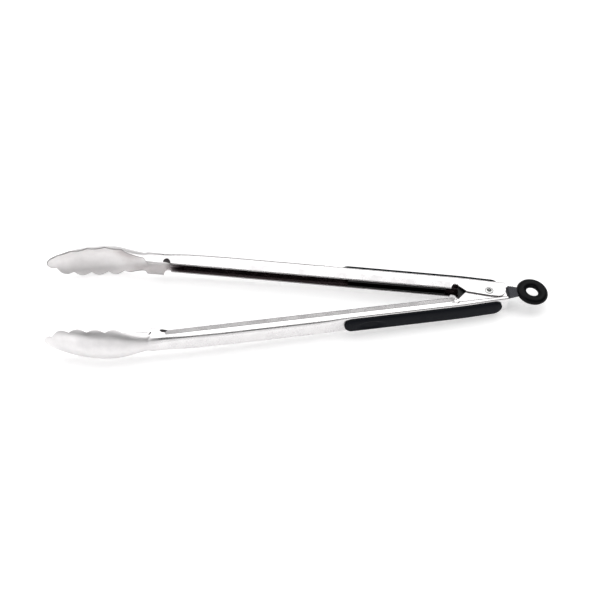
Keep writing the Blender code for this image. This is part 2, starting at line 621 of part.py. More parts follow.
def make_spring(group, axis, steel):
    """Torsion spring: a coil and two legs that lie against the insides of the two backs."""
    inside = (BACK_HEIGHT - SHEET - GAP) * math.cos(HALF_OPEN) - SPRING_WIRE / 2
    end_y = inside + SPRING_LEG_REACH * math.tan(HALF_OPEN)
    reach = math.hypot(SPRING_LEG_REACH, end_y)
    slope = math.atan2(end_y, SPRING_LEG_REACH) - math.asin(COIL_RADIUS / reach)
    start = math.pi / 2 - slope
    sweep = 2 * math.pi * (SPRING_TURNS + 0.5) - 2 * slope
    low = COIL_BOTTOM + SPRING_WIRE / 2
    high = SPOOL_TOP - SPRING_WIRE / 2
    steps = 14 * SPRING_TURNS
    points = [Vector((-SPRING_LEG_REACH, end_y, high))]
    for step in range(steps + 1):
        angle = start - sweep * step / steps
        points.append(Vector((COIL_RADIUS * math.cos(angle), COIL_RADIUS * math.sin(angle),
                              mix(high, low, step / steps))))
    points.append(Vector((-SPRING_LEG_REACH, -end_y, low)))
    curve = bpy.data.curves.new("torsion_spring", "CURVE")
    curve.dimensions = "3D"
    curve.bevel_depth = SPRING_WIRE / 2
    curve.bevel_resolution = 2
    curve.use_fill_caps = True
    spline = curve.splines.new("POLY")
    spline.points.add(len(points) - 1)
    for point, place in zip(spline.points, points):
        point.co = (*place, 1)
    spring = bpy.data.objects.new("torsion_spring", curve)
    group.objects.link(spring)
    spring.parent = axis
    curve.materials.append(steel)
    return spring


# ============================================ lock ======================================================
def bar(name, ends, half_widths, half_height, height, group, axis):
    """Tapered bar along X with rounded long edges, used as a boolean tool."""
    sections = []
    for x, half_width in zip(ends, half_widths):
        corners = [(side_y * half_width, side_z * half_height, 0.45 * half_height)
                   for side_y, side_z in ((1, 1), (-1, 1), (-1, -1), (1, -1))]
        sections.append([(x, point.x, height + point.y) for point in rounded_polygon(corners, steps=3)])
    tool = loft(name, sections, group, axis, None, closed=True, caps=True)
    hide_tool(tool)
    return tool


def make_slider(group, cutters, axis, nylon):
    """Flat slider with a wide head, a slot for the rivet, a thick neck and a tongue for the ring."""
    half = [(-SLIDER_FRONT, SLIDER_HEAD_HALF_WIDTH, SLIDER_CORNER * 2),
            (-SLIDER_HEAD_END, SLIDER_HEAD_HALF_WIDTH, SLIDER_CORNER / 4),
            (-SLIDER_HEAD_END, SLIDER_WAIST_HALF_WIDTH, SLIDER_CORNER / 4),
            (TAIL_LENGTH, SLIDER_WAIST_HALF_WIDTH, SLIDER_CORNER),
            (TAIL_LENGTH, BLOCK_HALF_WIDTH, 0),
            (BLOCK_START + 1 * MM, BLOCK_HALF_WIDTH - 0.3 * MM, 0)]
    corners = half + [(x, -y, radius) for x, y, radius in reversed(half)]
    bottom = SLIDER_TOP - SLIDER_THICKNESS
    slider = extruded_outline("lock_slider", rounded_polygon(corners), bottom, SLIDER_TOP, group, axis)
    slider.data.materials.append(nylon)
    width = RIVET_RADIUS + GAP
    front = -SLIDER_TRAVEL - width
    slot = rounded_polygon([(front, width, width * 0.99), (width, width, width * 0.99),
                            (width, -width, width * 0.99), (front, -width, width * 0.99)], steps=6)
    cutter = extruded_outline("lock_slider_slot", slot, bottom - 2 * MM, SLIDER_TOP + 2 * MM, cutters, axis)
    hide_tool(cutter)
    boolean(slider, cutter, "DIFFERENCE")
    block = bar("lock_slider_neck", (BLOCK_START, RING_START + BLOCK_DEPTH),
                (BLOCK_HALF_WIDTH, BLOCK_END_HALF_WIDTH), BLOCK_THICKNESS / 2, BLOCK_MIDDLE, cutters, axis)
    boolean(slider, block, "UNION")
    tongue = bar("lock_slider_tongue", (RING_START - 1 * MM, RING_START + TONGUE_DEPTH),
                 (TONGUE_HALF_WIDTH, TONGUE_HALF_WIDTH), BLOCK_THICKNESS / 4, BLOCK_MIDDLE, cutters, axis)
    boolean(slider, tongue, "UNION")
    return slider


def make_ring(group, cutters, axis, rubber):
    """Rubber pull ring with a pocket for the slider's tongue."""
    bpy.ops.mesh.primitive_torus_add(major_segments=44, minor_segments=16, major_radius=RING_MEAN_RADIUS,
                                     minor_radius=RING_RADIAL_RADIUS, location=(0, 0, 0))
    ring = bpy.context.object
    ring.name = "pull_ring"
    for old in list(ring.users_collection):
        old.objects.unlink(ring)
    group.objects.link(ring)
    flatten = Matrix.Diagonal((1, 1, RING_HALF_THICKNESS / RING_RADIAL_RADIUS, 1))
    tilt = Matrix.Rotation(RING_TILT, 4, "Y")
    ring.data.transform(Matrix.Translation((RING_CENTRE, 0, BLOCK_MIDDLE)) @ tilt @ flatten)
    ring.data.materials.append(rubber)
    ring.data.shade_smooth()
    ring.parent = axis
    for label, depth, half_width, half_height in (
            ("neck_pocket", BLOCK_DEPTH, BLOCK_END_HALF_WIDTH + 0.1 * MM, BLOCK_THICKNESS / 2),
            ("tongue_pocket", TONGUE_DEPTH, TONGUE_HALF_WIDTH, BLOCK_THICKNESS / 4)):
        wide = half_width + GAP
        pocket = bar("pull_ring_" + label, (RING_START - 2 * MM, RING_START + depth + GAP), (wide, wide),
                     half_height + GAP, BLOCK_MIDDLE, cutters, axis)
        boolean(ring, pocket, "DIFFERENCE")
    return ring


# ============================================ assembly =====================================================
def make_axis(name, angle, group):
    """Empty on the rivet's axis that a moving group hangs on."""
    empty = bpy.data.objects.new(name, None)
    empty.location = HINGE_PLACE
    empty.rotation_euler = (0, 0, angle)
    group.objects.link(empty)
    return empty


def main():
    """Build the tongs."""
    clear_scene()
    group = make_collection(OBJECT_NAME)
    cutters = make_collection("cutters")
    steel = make_material("stainless_steel", (0.78, 0.78, 0.79), 0.22, 1.0)
    spring_steel = make_material("spring_steel", (0.45, 0.45, 0.46), 0.35, 1.0)
    grip_rubber = make_material("grip_rubber", (0.012, 0.013, 0.018), 0.55, 0.0)
    liner_nylon = make_material("liner_nylon", (0.01, 0.01, 0.01), 0.6, 0.0)
    slider_nylon = make_material("slider_nylon", (0.05, 0.05, 0.055), 0.5, 0.0)
    ring_rubber = make_material("ring_rubber", (0.01, 0.01, 0.01), 0.45, 0.0)

    outer_axis = make_axis("outer_arm_axis", -HALF_OPEN, group)
    inner_axis = make_axis("inner_arm_axis", HALF_OPEN, group)
    middle_axis = make_axis("middle_axis", 0, group)
    make_arm("outer_arm", HEAD_LENGTH + HEAD_STAGGER, False, group, cutters, outer_axis, steel)
    make_arm("inner_arm", HEAD_LENGTH, True, group, cutters, inner_axis, steel)
    for label, axis, inner in (("outer", outer_axis, False), ("inner", inner_axis, True)):
        make_grip(label + "_grip", inner, group, cutters, axis, grip_rubber)
        make_liner(label + "_grip_liner", inner, group, cutters, axis, liner_nylon)
    make_rivet(group, middle_axis, steel)
    make_spool(group, middle_axis, liner_nylon)
    make_spring(group, middle_axis, spring_steel)
    make_slider(group, cutters, middle_axis, slider_nylon)
    make_ring(group, cutters, middle_axis, ring_rubber)


main()
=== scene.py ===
"""Spring loaded kitchen tongs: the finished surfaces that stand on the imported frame.

Row frame: metres, +Z up along the hinge axis, heads towards -X, pull ring towards +X.
Arm frame: the rivet's axis is at the origin, the arm runs towards -X and its back faces +Y.
The inner arm is the mirror image of that in Y. "nose" lengths are measured from the tip of a head.
"""

from contextlib import contextmanager
from math import acos, asin, atan2, copysign, cos, hypot, pi, radians, sin, sqrt, tan

import bpy
from bpy.props import FloatProperty, FloatVectorProperty, IntProperty, PointerProperty, StringProperty
from mathutils import Matrix, Vector


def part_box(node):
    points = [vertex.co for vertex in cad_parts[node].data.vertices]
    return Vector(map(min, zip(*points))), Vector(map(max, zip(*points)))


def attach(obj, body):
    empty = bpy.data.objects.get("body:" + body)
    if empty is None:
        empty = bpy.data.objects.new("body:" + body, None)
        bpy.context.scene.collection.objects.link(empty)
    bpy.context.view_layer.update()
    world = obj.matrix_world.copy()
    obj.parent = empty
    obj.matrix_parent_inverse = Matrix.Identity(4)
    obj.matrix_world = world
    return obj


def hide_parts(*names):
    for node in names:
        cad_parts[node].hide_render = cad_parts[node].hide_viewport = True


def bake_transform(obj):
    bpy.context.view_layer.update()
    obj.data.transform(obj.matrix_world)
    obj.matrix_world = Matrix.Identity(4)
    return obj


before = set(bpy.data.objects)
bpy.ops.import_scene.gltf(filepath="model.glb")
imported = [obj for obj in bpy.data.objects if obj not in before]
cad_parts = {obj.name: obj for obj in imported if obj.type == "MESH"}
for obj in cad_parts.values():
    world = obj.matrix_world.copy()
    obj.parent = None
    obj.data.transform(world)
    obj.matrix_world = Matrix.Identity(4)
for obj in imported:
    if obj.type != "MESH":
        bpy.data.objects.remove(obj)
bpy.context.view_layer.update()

bl_info = {
    "name": "Sprung kitchen tongs",
    "version": (1, 0, 0),
    "blender": (4, 5, 0),
    "location": "View3D > Sidebar > Tongs",
    "description": "Builds the finished pieces of a pair of sprung kitchen tongs on their frame",
    "category": "Object",
}

MM = 0.001
HALF_OPEN = radians(7.4)

# --- places from the frame ---
RIVET_LOW, RIVET_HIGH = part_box("hinge_rivet")
ARM_LOW, ARM_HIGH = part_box("outer_arm")
HINGE = Vector(((RIVET_LOW.x + RIVET_HIGH.x) / 2, 0, (ARM_LOW.z + ARM_HIGH.z) / 2))
GAP = 0.3 * MM
WELD = 0.002 * MM
TURNING_STEPS, ROD_SIDES, ROUNDING_STEPS = 72, 48, 6

# --- pressed arms: the frame's sizes, with wider lips and fuller backs between the grips and the necks ---
ARM_HALF_WIDTH = 7.8 * MM
BACK_HEIGHT = 12.0 * MM
CORNER_RADIUS = 2.0 * MM
TAIL_LENGTH, TAIL_DROP, TAIL_DROP_LENGTH = 13.2 * MM, 1.2 * MM, 44.0 * MM
NECK_DISTANCE, NECK_DROP, NECK_DROP_LENGTH = 270.0 * MM, 1.0 * MM, 66.0 * MM
WALL_EDGE = 0.8 * MM
LIP_LENGTH, LIP_LEAN, LIP_FADE = 6.2 * MM, 2.6 * MM, 3.5 * MM
LIP_HEAD_END, LIP_HINGE_END = 260.5 * MM, 27.0 * MM
RELIEF_HALF_LENGTH, RELIEF_HEIGHT = 2.9 * MM, 3.6 * MM
COLLAR_EDGE = -0.6 * MM
EAR_EDGE, EAR_LEAD_EDGE, EAR_FRONT = -4.4 * MM, -2.6 * MM, 17.8 * MM
EAR_ROOT, EAR_ROOT_EDGE, EAR_CORNER_RADIUS = 24.5 * MM, 2.7 * MM, 6.5 * MM
JOGGLE_TOP, JOGGLE_FRONT, JOGGLE_SLANT, JOGGLE_WIDTH = 8.2 * MM, 33.5 * MM, 1.25, 1.6 * MM
JOGGLE_DEPTH = 1.35 * MM
HEAD_LENGTH, HEAD_STAGGER, HEAD_HALF_WIDTH = 81.5 * MM, 6.8 * MM, 16.2 * MM
HEAD_ROUND_LENGTH, HEAD_ROUND_POWER, HEAD_TAPER_START = 45.0 * MM, 2.5, 50.0 * MM
NOSE_EDGE, RIM_RISE, RIM_RISE_LENGTH = -6.3 * MM, 9.0 * MM, 57.0 * MM
BOWL_DEPTH, BOWL_DEPTH_LENGTH, BOWL_POWER = 11.29 * MM, 38.0 * MM, 0.75
SCALLOP_PITCH, SCALLOP_DEPTH, SCALLOP_COUNT, SCALLOP_FIRST = 13.6 * MM, 2.3 * MM, 5, 6.3 * MM
MIDDLE_ROUNDING, MIDDLE_SWELL, NECK_ROUNDING, NECK_CREASE = 1.4 * MM, 1.3 * MM, 2.2 * MM, 4.5 * MM
STUD_PLACES, STUD_RADIUS = (100.0 * MM, 50.0 * MM), 2.0 * MM
# in millimetres: the dark web in a relief notch (x from it, z), painted shade of the shadowed opening where
# the lip rolls in, and the dark strokes on the inner arm's upper wall, painted shade of the crease by the
# head and of a step by the ear
SHADE_WEB = ((-3.2, 7.25), (-0.6, 7.15), (3.2, 5.6), (3.2, 5.2), (-0.6, 6.8), (-3.2, 6.9))
SHADE_STROKES = (((-270.0, 3.0, 7.8), (-271.8, 5.4, 8.0)), ((-26.2, 7.6, 7.6), (-28.6, 9.6, 7.75)))
SHADE_STROKE_HALF_WIDTH, SHADE_STROKE_RISE = 0.5 * MM, 0.25 * MM
DARK_PATCH_PLACE = (-0.294, 0.012, 0.004)

# --- hinge, lock, grips ---
SLIDER_TOP, SLIDER_BOTTOM = 5.1 * MM, 3.6 * MM
SPOOL_TOP, SPOOL_BOTTOM, SPOOL_FLANGE = 3.3 * MM, -5.15 * MM, 0.8 * MM
SPOOL_BORE, SPOOL_RADIUS, SPOOL_FLANGE_RADIUS = 2.6 * MM, 3.7 * MM, 5.6 * MM
SPRING_LEG_REACH, SPRING_TURNS = 30.0 * MM, 3.5
WIRE_SIDES, COIL_STEPS = 20, 60
SLIDER_TRAVEL, SLIDER_FRONT, SLIDER_HEAD_END = 17.0 * MM, 24.5 * MM, 8.0 * MM
SLIDER_HEAD, SLIDER_WAIST, SLOT_HALF_WIDTH = 8.4 * MM, 7.6 * MM, 2.6 * MM
BLOCK_START, BLOCK_END, BLOCK_MIDDLE = 15.7 * MM, 23.7 * MM, 5.35 * MM
BLOCK_HALF_WIDTH, BLOCK_END_HALF_WIDTH, BLOCK_THICKNESS = 5.6 * MM, 3.79 * MM, 3.2 * MM
RIBS_END, TONGUE_START, TONGUE_END, TONGUE_HALF_WIDTH = 22.2 * MM, 22 * MM, 26.9 * MM, 2.6 * MM
RING_CENTRE, RING_TILT, RING_FLATNESS, PARTING_LINE = 35.2 * MM, radians(5.0), 0.763, 0.07 * MM
GRIP_FRONT, GRIP_REAR, GRIP_SIDE_POWER, GRIP_CROWN_POWER = 120.0 * MM, 8.5 * MM, 0.62, 0.55
REST_PLACE, REST_LENGTH, REST_WIDTH = 99 * MM, 11 * MM, 4.6 * MM
LINER_FRONT, LINER_REAR = 113.0 * MM, 34.0 * MM
FLOOR_TOUCH = 157 * MM


# ===== settings =====
class TongsArmSettings(bpy.types.PropertyGroup):
    """Pressed stainless arms."""
    sheet: FloatProperty(name="Sheet", description="Thickness of the sheet", default=1.0 * MM, unit="LENGTH")
    edge: FloatProperty(name="Edge", description="Rounding of the edges", default=0.22 * MM, unit="LENGTH")
    scallop_steps: IntProperty(name="Scallop steps", description="Mesh rows in a scallop", default=14, min=4)
    polish: FloatProperty(name="Polish", description="Roughness outside", default=0.23, subtype="FACTOR")
    satin: FloatProperty(name="Satin", description="Roughness added on heads", default=0.16, subtype="FACTOR")
    steel: StringProperty(name="Steel", description="Colour of the polished steel", default="#EAE8E8")
    # Inside: painted shade, the darker colour that the channel's inside takes behind the neck
    inside: StringProperty(name="Inside", description="Colour of a channel's dull inside", default="#7A7173")


class TongsGripSettings(bpy.types.PropertyGroup):
    """Soft pads on the backs, and the liners that hold them."""
    half_width: FloatProperty(name="Width", description="Half a pad's width", default=6.7 * MM, unit="LENGTH")
    height: FloatProperty(name="Height", description="Height of a pad", default=2.68 * MM, unit="LENGTH")
    dimple: FloatProperty(name="Thumb rest", description="Depth of the rest", default=1.0 * MM, unit="LENGTH")
    rubber: StringProperty(name="Rubber", description="Colour of the soft rubber", default="#0C0E14")
    nylon: StringProperty(name="Liner", description="Colour of the liner", default="#0C0C0D")


class TongsHingeSettings(bpy.types.PropertyGroup):
    """Rivet, spool and torsion spring."""
    wire: FloatProperty(name="Wire", description="Thickness of the wire", default=1.4994 * MM, unit="LENGTH")
    rivet_radius: FloatProperty(name="Rivet", description="Shank's radius", default=2.3 * MM, unit="LENGTH")
    bore_radius: FloatProperty(name="Bore", description="Hollow's radius", default=1.7 * MM, unit="LENGTH")
    wire_steel: StringProperty(name="Spring steel", description="Colour of the drawn wire", default="#8D8B88")


class TongsLockSettings(bpy.types.PropertyGroup):
    """Slider and pull ring."""
    ring_radius: FloatProperty(name="Ring", description="Its mean radius", default=8.8 * MM, unit="LENGTH")
    ring_section: FloatProperty(name="Section", description="Section radius", default=4.1 * MM, unit="LENGTH")
    rib_height: FloatProperty(name="Rib", description="Height of a rib", default=0.22 * MM, unit="LENGTH")
    rib_count: IntProperty(name="Ribs", description="Number of ribs across the neck", default=4, min=1)
    nylon: StringProperty(name="Nylon", description="Colour of the slider", default="#3E3F44")
    rubber: StringProperty(name="Rubber", description="Colour of the ring", default="#050608")


class TongsStageSettings(bpy.types.PropertyGroup):
    """Floor, light and camera."""
    floor: StringProperty(name="Floor", description="Colour of the floor", default="#FBFBFB")
    softbox: FloatProperty(name="Softbox", description="Brightness of the big softbox overhead", default=1.7)
    front: FloatProperty(name="Front card", description="Brightness of the card by the camera", default=0.9)
    back: FloatProperty(name="Back card", description="Brightness of the low card at the back", default=0.6)
    side: FloatProperty(name="Side card", description="Brightness of the card by the heads", default=1.1)
    room: FloatProperty(name="Room", description="Brightness of the dim room round the table", default=0.15)
    glow: FloatProperty(name="Floor glow", description="Light that the floor card lets through", default=0.37)
    lens: FloatProperty(name="Lens", description="Focal length in millimetres", default=65.86)
    camera_place: FloatVectorProperty(name="Camera", description="Where it stands", subtype="TRANSLATION",
                                      default=(-0.036755, -0.548283, 0.684680))
    camera_turn: FloatVectorProperty(name="Camera turn", description="How it is turned", subtype="EULER",
                                     default=tuple(map(radians, (39.5515, -1.4371, -2.0506))))


# ===== small tools =====
def ease(start, end, value):
    """Smooth step from 0 at start to 1 at end."""
    t = min(max((value - start) / (end - start), 0.0), 1.0)
    return t * t * (3 - 2 * t)


def mix(a, b, t):
    """Value between a and b."""
    return a + (b - a) * t


def spread(a, b, steps):
    """Values from a up to, and not with, b."""
    return [mix(a, b, step / steps) for step in range(steps)]


def arc(first, last, step):
    """Cosines and sines of a row of angles in degrees."""
    return [(cos(radians(a)), sin(radians(a))) for a in range(first, last, step)]


def at(x, y, z):
    """Place in the row frame, counted from the hinge."""
    return HINGE + Vector((x, y, z))


def arm_matrix(inner):
    """From the arm frame to the row frame."""
    side = -1 if inner else 1
    mirror = Matrix.Diagonal((1, side, 1, 1))
    return Matrix.Translation(HINGE) @ Matrix.Rotation(-side * HALF_OPEN, 4, "Z") @ mirror


def deselect():
    """Leave object mode with nothing selected."""
    if bpy.context.object and bpy.context.object.mode != "OBJECT":
        bpy.ops.object.mode_set(mode="OBJECT")
    bpy.ops.object.select_all(action="DESELECT")


def named(name):
    """Name the primitive that was just added."""
    piece = bpy.context.object
    piece.name = name
    piece.data.name = name
    return piece


def only(piece):
    """Select one piece and make it active."""
    deselect()
    piece.select_set(True)
    bpy.context.view_layer.objects.active = piece


def apply_place(piece):
    """Put a piece's place into its mesh."""
    only(piece)
    bpy.ops.object.transform_apply(location=True, rotation=True, scale=True)


def apply_modifier(piece, kind, **settings):
    """Add a modifier, set it and apply it."""
    only(piece)
    modifier = piece.modifiers.new(kind.lower(), kind)
    for name, value in settings.items():
        setattr(modifier, name, value)
    bpy.ops.object.modifier_apply(modifier=modifier.name)


def cut(piece, tool, operation="DIFFERENCE"):
    """Cut with a tool or join it on, and throw the tool away."""
    apply_modifier(piece, "BOOLEAN", operation=operation, solver="EXACT", object=tool)
    bpy.data.objects.remove(tool, do_unlink=True)


@contextmanager
def editing(piece):
    """Edit mode with the whole mesh selected."""
    only(piece)
    bpy.ops.object.mode_set(mode="EDIT")
    bpy.ops.mesh.select_all(action="SELECT")
    yield
    bpy.ops.object.mode_set(mode="OBJECT")


def heal(piece):
    """Merge doubles and turn every face outwards."""
    with editing(piece):
        bpy.ops.mesh.remove_doubles(threshold=WELD)
        bpy.ops.mesh.normals_make_consistent(inside=False)
    return piece


def close_ends(piece, fill):
    """Merge doubles and close the open ends with a fill operator."""
    with editing(piece):
        bpy.ops.mesh.remove_doubles(threshold=WELD)
        bpy.ops.mesh.select_all(action="DESELECT")
        bpy.ops.mesh.select_non_manifold()
        fill()
    heal(piece)


def smooth(piece, degrees=35):
    """Smooth shading with sharp edges above an angle."""
    only(piece)
    bpy.ops.object.shade_smooth_by_angle(angle=radians(degrees))
    return piece


def finish_piece(piece, body, node, slot, *materials):
    """Give a piece its materials and its body, and hide the frame node that it stands for."""
    for material in materials:
        piece.data.materials.append(material)
    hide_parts(node)
    if body:
        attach(piece, body)


def pressed_grid(name, rows, columns, place):
    """Grid blank whose point at (row, column) is pressed to place(row, column)."""
    deselect()
    bpy.ops.mesh.primitive_grid_add(x_subdivisions=columns - 1, y_subdivisions=rows - 1, size=1)
    piece = named(name)
    for index, vertex in enumerate(piece.data.vertices):
        vertex.co = place(index // columns, index % columns)
    return piece


def prism(name, outline, vector):
    """Flat outline of row-frame points, filled and extruded by a vector."""
    deselect()
    bpy.ops.mesh.primitive_circle_add(vertices=len(outline), radius=1, fill_type="NGON")
    piece = named(name)
    for vertex, point in zip(piece.data.vertices, outline):
        vertex.co = point
    with editing(piece):
        bpy.ops.mesh.extrude_region_move(TRANSFORM_OT_translate={"value": vector})
    return heal(piece)


def turned(name, profile):
    """Line of (radius, height) points spun round the rivet's axis."""
    deselect()
    bpy.ops.mesh.primitive_plane_add(size=MM, location=at(profile[0][0], 0, profile[0][1]))
    piece = named(name)
    with editing(piece):
        bpy.ops.mesh.merge(type="CENTER")
        for before, after in zip(profile, profile[1:]):
            move = (after[0] - before[0], 0, after[1] - before[1])
            bpy.ops.mesh.extrude_region_move(TRANSFORM_OT_translate={"value": move})
        bpy.ops.mesh.select_all(action="SELECT")
        bpy.ops.mesh.spin(steps=TURNING_STEPS, angle=2 * pi, center=HINGE, axis=(0, 0, 1))
    apply_place(piece)
    return heal(piece)


def rod(name, radius, ends, direction, matrix, x=0):
    """Cylinder between two places along Y or Z, at x in the frame of a matrix."""
    deselect()
    middle = (ends[0] + ends[1]) / 2
    place, turn = ((x, middle, 0), pi / 2) if direction == "Y" else ((x, 0, middle), 0)
    bpy.ops.mesh.primitive_cylinder_add(vertices=ROD_SIDES, radius=radius, depth=ends[1] - ends[0],
                                        location=place, rotation=(turn, 0, 0))
    piece = named(name)
    apply_place(piece)
    piece.data.transform(matrix)
    return heal(piece)


def rounded(corners, steps=ROUNDING_STEPS):
    """Outline through (x, y, radius) corners, each rounded by its own radius."""
    outline = []
    for index, (x, y, radius) in enumerate(corners):
        here = Vector((x, y))
        before = (Vector(corners[index - 1][:2]) - here).normalized()
        after = (Vector(corners[(index + 1) % len(corners)][:2]) - here).normalized()
        if radius == 0:
            outline.append(here)
            continue
        half = before.angle(after) / 2
        centre = here + (before + after).normalized() * radius / sin(half)
        start = here + before * radius / tan(half) - centre
        sweep = start.angle_signed(here + after * radius / tan(half) - centre)
        outline += [centre + Matrix.Rotation(-sweep * step / steps, 2) @ start for step in range(steps + 1)]
    return outline


# ===== materials =====
def colour(code):
    """Linear colour from an sRGB hex value."""
    values = [int(code[i:i + 2], 16) / 255 for i in (1, 3, 5)]
    return (*(v / 12.92 if v <= 0.04045 else ((v + 0.055) / 1.055) ** 2.4 for v in values), 1)


def put(tree, kind, inputs=None, give=0, **settings):
    """Add a node, set it, fill or link its inputs and give one of its outputs."""
    made = tree.nodes.new(kind)
    for name, value in settings.items():
        setattr(made, name, value)
    for name, value in (inputs or {}).items():
        if isinstance(value, bpy.types.NodeSocket):
            tree.links.new(value, made.inputs[name])
        else:
            made.inputs[name].default_value = value
    return made.outputs[give] if made.outputs else None


def new_material(name):
    """Empty node material, its tree and its object coordinates."""
    material = bpy.data.materials.new(name)
    material.use_nodes = True
    tree = material.node_tree
    tree.nodes.clear()
    return material, tree, put(tree, "ShaderNodeTexCoord", give="Object")


def output(tree, **inputs):
    """Principled shader with its inputs by name, on the output."""
    spaced = {name.replace("_", " "): value for name, value in inputs.items()}
    shader = put(tree, "ShaderNodeBsdfPrincipled", spaced)
    put(tree, "ShaderNodeOutputMaterial", {"Surface": shader})


def stainless_sheet(inner, face):
    """Stainless steel sheet, pressed and then polished by tumbling.

    Bright and nearly mirror-like outside the arms, with a faint rolled grain along them and slow waves left
    by the press, and satin on the heads. The inside faces take a lighter copy of the colour, painted light on
    the heads' bowls, and behind the neck a darker colour, painted shade of the deep channel. The sheared
    edges are left grey.
    """
    settings = bpy.context.scene.tongs_arm
    material, tree, here = new_material("stainless_" + ("inner_" if inner else "outer_") + face)
    # from here on in the arm's own frame
    here = put(tree, "ShaderNodeMapping", {
        "Vector": here, "Location": -(Matrix.Rotation(HALF_OPEN, 3, "Z") @ HINGE),
        "Rotation": (0, 0, HALF_OPEN), "Scale": (1, -1 if inner else 1, 1)})
    along = put(tree, "ShaderNodeSeparateXYZ", {"Vector": here})
    # rolled grain about 0.25 mm wide and 12 mm long
    drawn = put(tree, "ShaderNodeMapping", {"Vector": here, "Scale": (80, 4000, 4000)})
    # press waves about 18 mm long, cloudy patches of 8 mm where the polish differs, specks of 0.6 mm
    grain, waves, clouds, specks = (
        put(tree, "ShaderNodeTexNoise", {"Vector": place, "Scale": scale, "Detail": detail})
        for place, scale, detail in ((drawn, 1, 3), (here, 55, 1), (here, 120, 3), (here, 1700, 2)))
    # painted light: the inside faces take a lighter copy of the steel's colour, which brightens the rough
    # bowls of the heads
    bright, cloudy = ("#F4F2F2", "#E6E4E4") if face == "inside" else (settings.steel, "#D6D4D5")
    finish = put(tree, "ShaderNodeMix", {0: clouds, 6: colour(bright), 7: colour(cloudy)}, 2,
                 data_type="RGBA")
    satin = put(tree, "ShaderNodeMapRange", {
        "Value": along, "From Min": -0.262, "From Max": -0.275,
        "To Min": 0.0, "To Max": settings.satin * (2.2 if face == "inside" else 1)})
    rough = put(tree, "ShaderNodeMapRange", {
        "Value": clouds, "From Min": 0.3, "From Max": 0.7,
        "To Min": settings.polish - 0.05, "To Max": settings.polish + 0.1})
    rough = put(tree, "ShaderNodeMath", {0: rough, 1: satin}, operation="ADD")
    if face == "inside":
        # a darker grey-brown patch round one place in the head, and painted shade that darkens the channel
        # behind the neck
        dark_patch = put(tree, "ShaderNodeVectorMath", {0: here, 1: DARK_PATCH_PLACE}, 1, operation="DISTANCE")
        dark_patch = put(tree, "ShaderNodeMath", {0: clouds, 1: 0.016, 2: dark_patch}, operation="MULTIPLY_ADD")
        dark_patch = put(tree, "ShaderNodeMapRange", {
            "Value": dark_patch, "From Min": 0.011, "From Max": 0.023, "To Min": 0.5, "To Max": 0.0},
            interpolation_type="SMOOTHSTEP")
        finish = put(tree, "ShaderNodeMix", {0: dark_patch, 6: finish, 7: colour("#8F7F7E")}, 2, data_type="RGBA")
        # painted shade: from the neck towards the hinge the inside takes the darker colour of the shaded
        # channel
        depth = put(tree, "ShaderNodeMapRange", {"Value": along, "From Min": -0.267, "From Max": -0.25},
                    interpolation_type="SMOOTHSTEP")
        finish = put(tree, "ShaderNodeMix", {0: depth, 6: finish, 7: colour(settings.inside)}, 2,
                     data_type="RGBA")
    if face == "edge":
        sheared = put(tree, "ShaderNodeMapRange", {
            "Value": along, "From Min": -0.268, "From Max": -0.274, "To Min": 0.7})
        finish = put(tree, "ShaderNodeMix", {0: sheared, 6: finish, 7: colour("#9C9A9A")}, 2,
                     data_type="RGBA")
    normal = {}
    for height, depth, strength in ((waves, 0.2, 0.2), (specks, 0.02, 0.25), (grain, 0.01, 0.35)):
        bump = put(tree, "ShaderNodeBump", {
            "Height": height, "Distance": depth * MM, "Strength": strength, **normal})
        normal = {"Normal": bump}
    output(tree, Base_Color=finish, Metallic=1.0, Roughness=rough, **normal)
    return material


def painted_shade_mark():
    """Dark grey with darker spots: painted shade for the shadowed opening of the rolled lip and for creases
    and steps.
    """
    material, tree, here = new_material("stainless_pressing_mark")
    spots = put(tree, "ShaderNodeTexNoise", {"Vector": here, "Scale": 1500.0, "Detail": 3.0})
    finish = put(tree, "ShaderNodeMix", {0: spots, 6: colour("#232021"), 7: colour("#4A4647")}, 2,
                 data_type="RGBA")
    output(tree, Base_Color=finish, Metallic=0.6, Roughness=0.62)
    return material


def moulded(name, code, roughness, grain_mm, depth_mm, specular=0.5, ior=1.5, mottle=0.25, shaded_between_arms=False):
    """Moulded rubber or nylon: one dark colour with a faint mottle and the fine grain of its mould.

    grain_mm is the size of the mould's grain and depth_mm its depth.
    """
    material, tree, here = new_material(name)
    grain = put(tree, "ShaderNodeTexNoise", {"Vector": here, "Scale": 1 / (grain_mm * MM), "Detail": 2.0})
    patches = put(tree, "ShaderNodeTexNoise", {"Vector": here, "Scale": 140.0, "Detail": 4.0})
    dark, light = ((*(v * share for v in colour(code)[:3]), 1) for share in (1 - mottle, 1 + mottle))
    finish = put(tree, "ShaderNodeMix", {0: patches, 6: dark, 7: light}, 2, data_type="RGBA")
    rough = put(tree, "ShaderNodeMapRange", {
        "Value": patches, "From Min": 0.3, "From Max": 0.7,
        "To Min": roughness - 0.06, "To Max": roughness + 0.06})
    bump = put(tree, "ShaderNodeBump", {"Height": grain, "Distance": depth_mm * MM, "Strength": 0.6})
    if shaded_between_arms:
        # painted shade: the slider's end that lies between the arms, in their shade, is darkened nearly to
        # black
        along = put(tree, "ShaderNodeSeparateXYZ", {"Vector": here})
        out_of_shade = put(tree, "ShaderNodeMapRange", {
            "Value": along, "From Min": HINGE.x - 4 * MM, "From Max": HINGE.x + 13 * MM})
        finish = put(tree, "ShaderNodeMix", {0: out_of_shade, 6: colour("#0B0B0C"), 7: finish}, 2, data_type="RGBA")
    output(tree, Base_Color=finish, Roughness=rough, Normal=bump, IOR=ior, Specular_IOR_Level=specular)
    return material


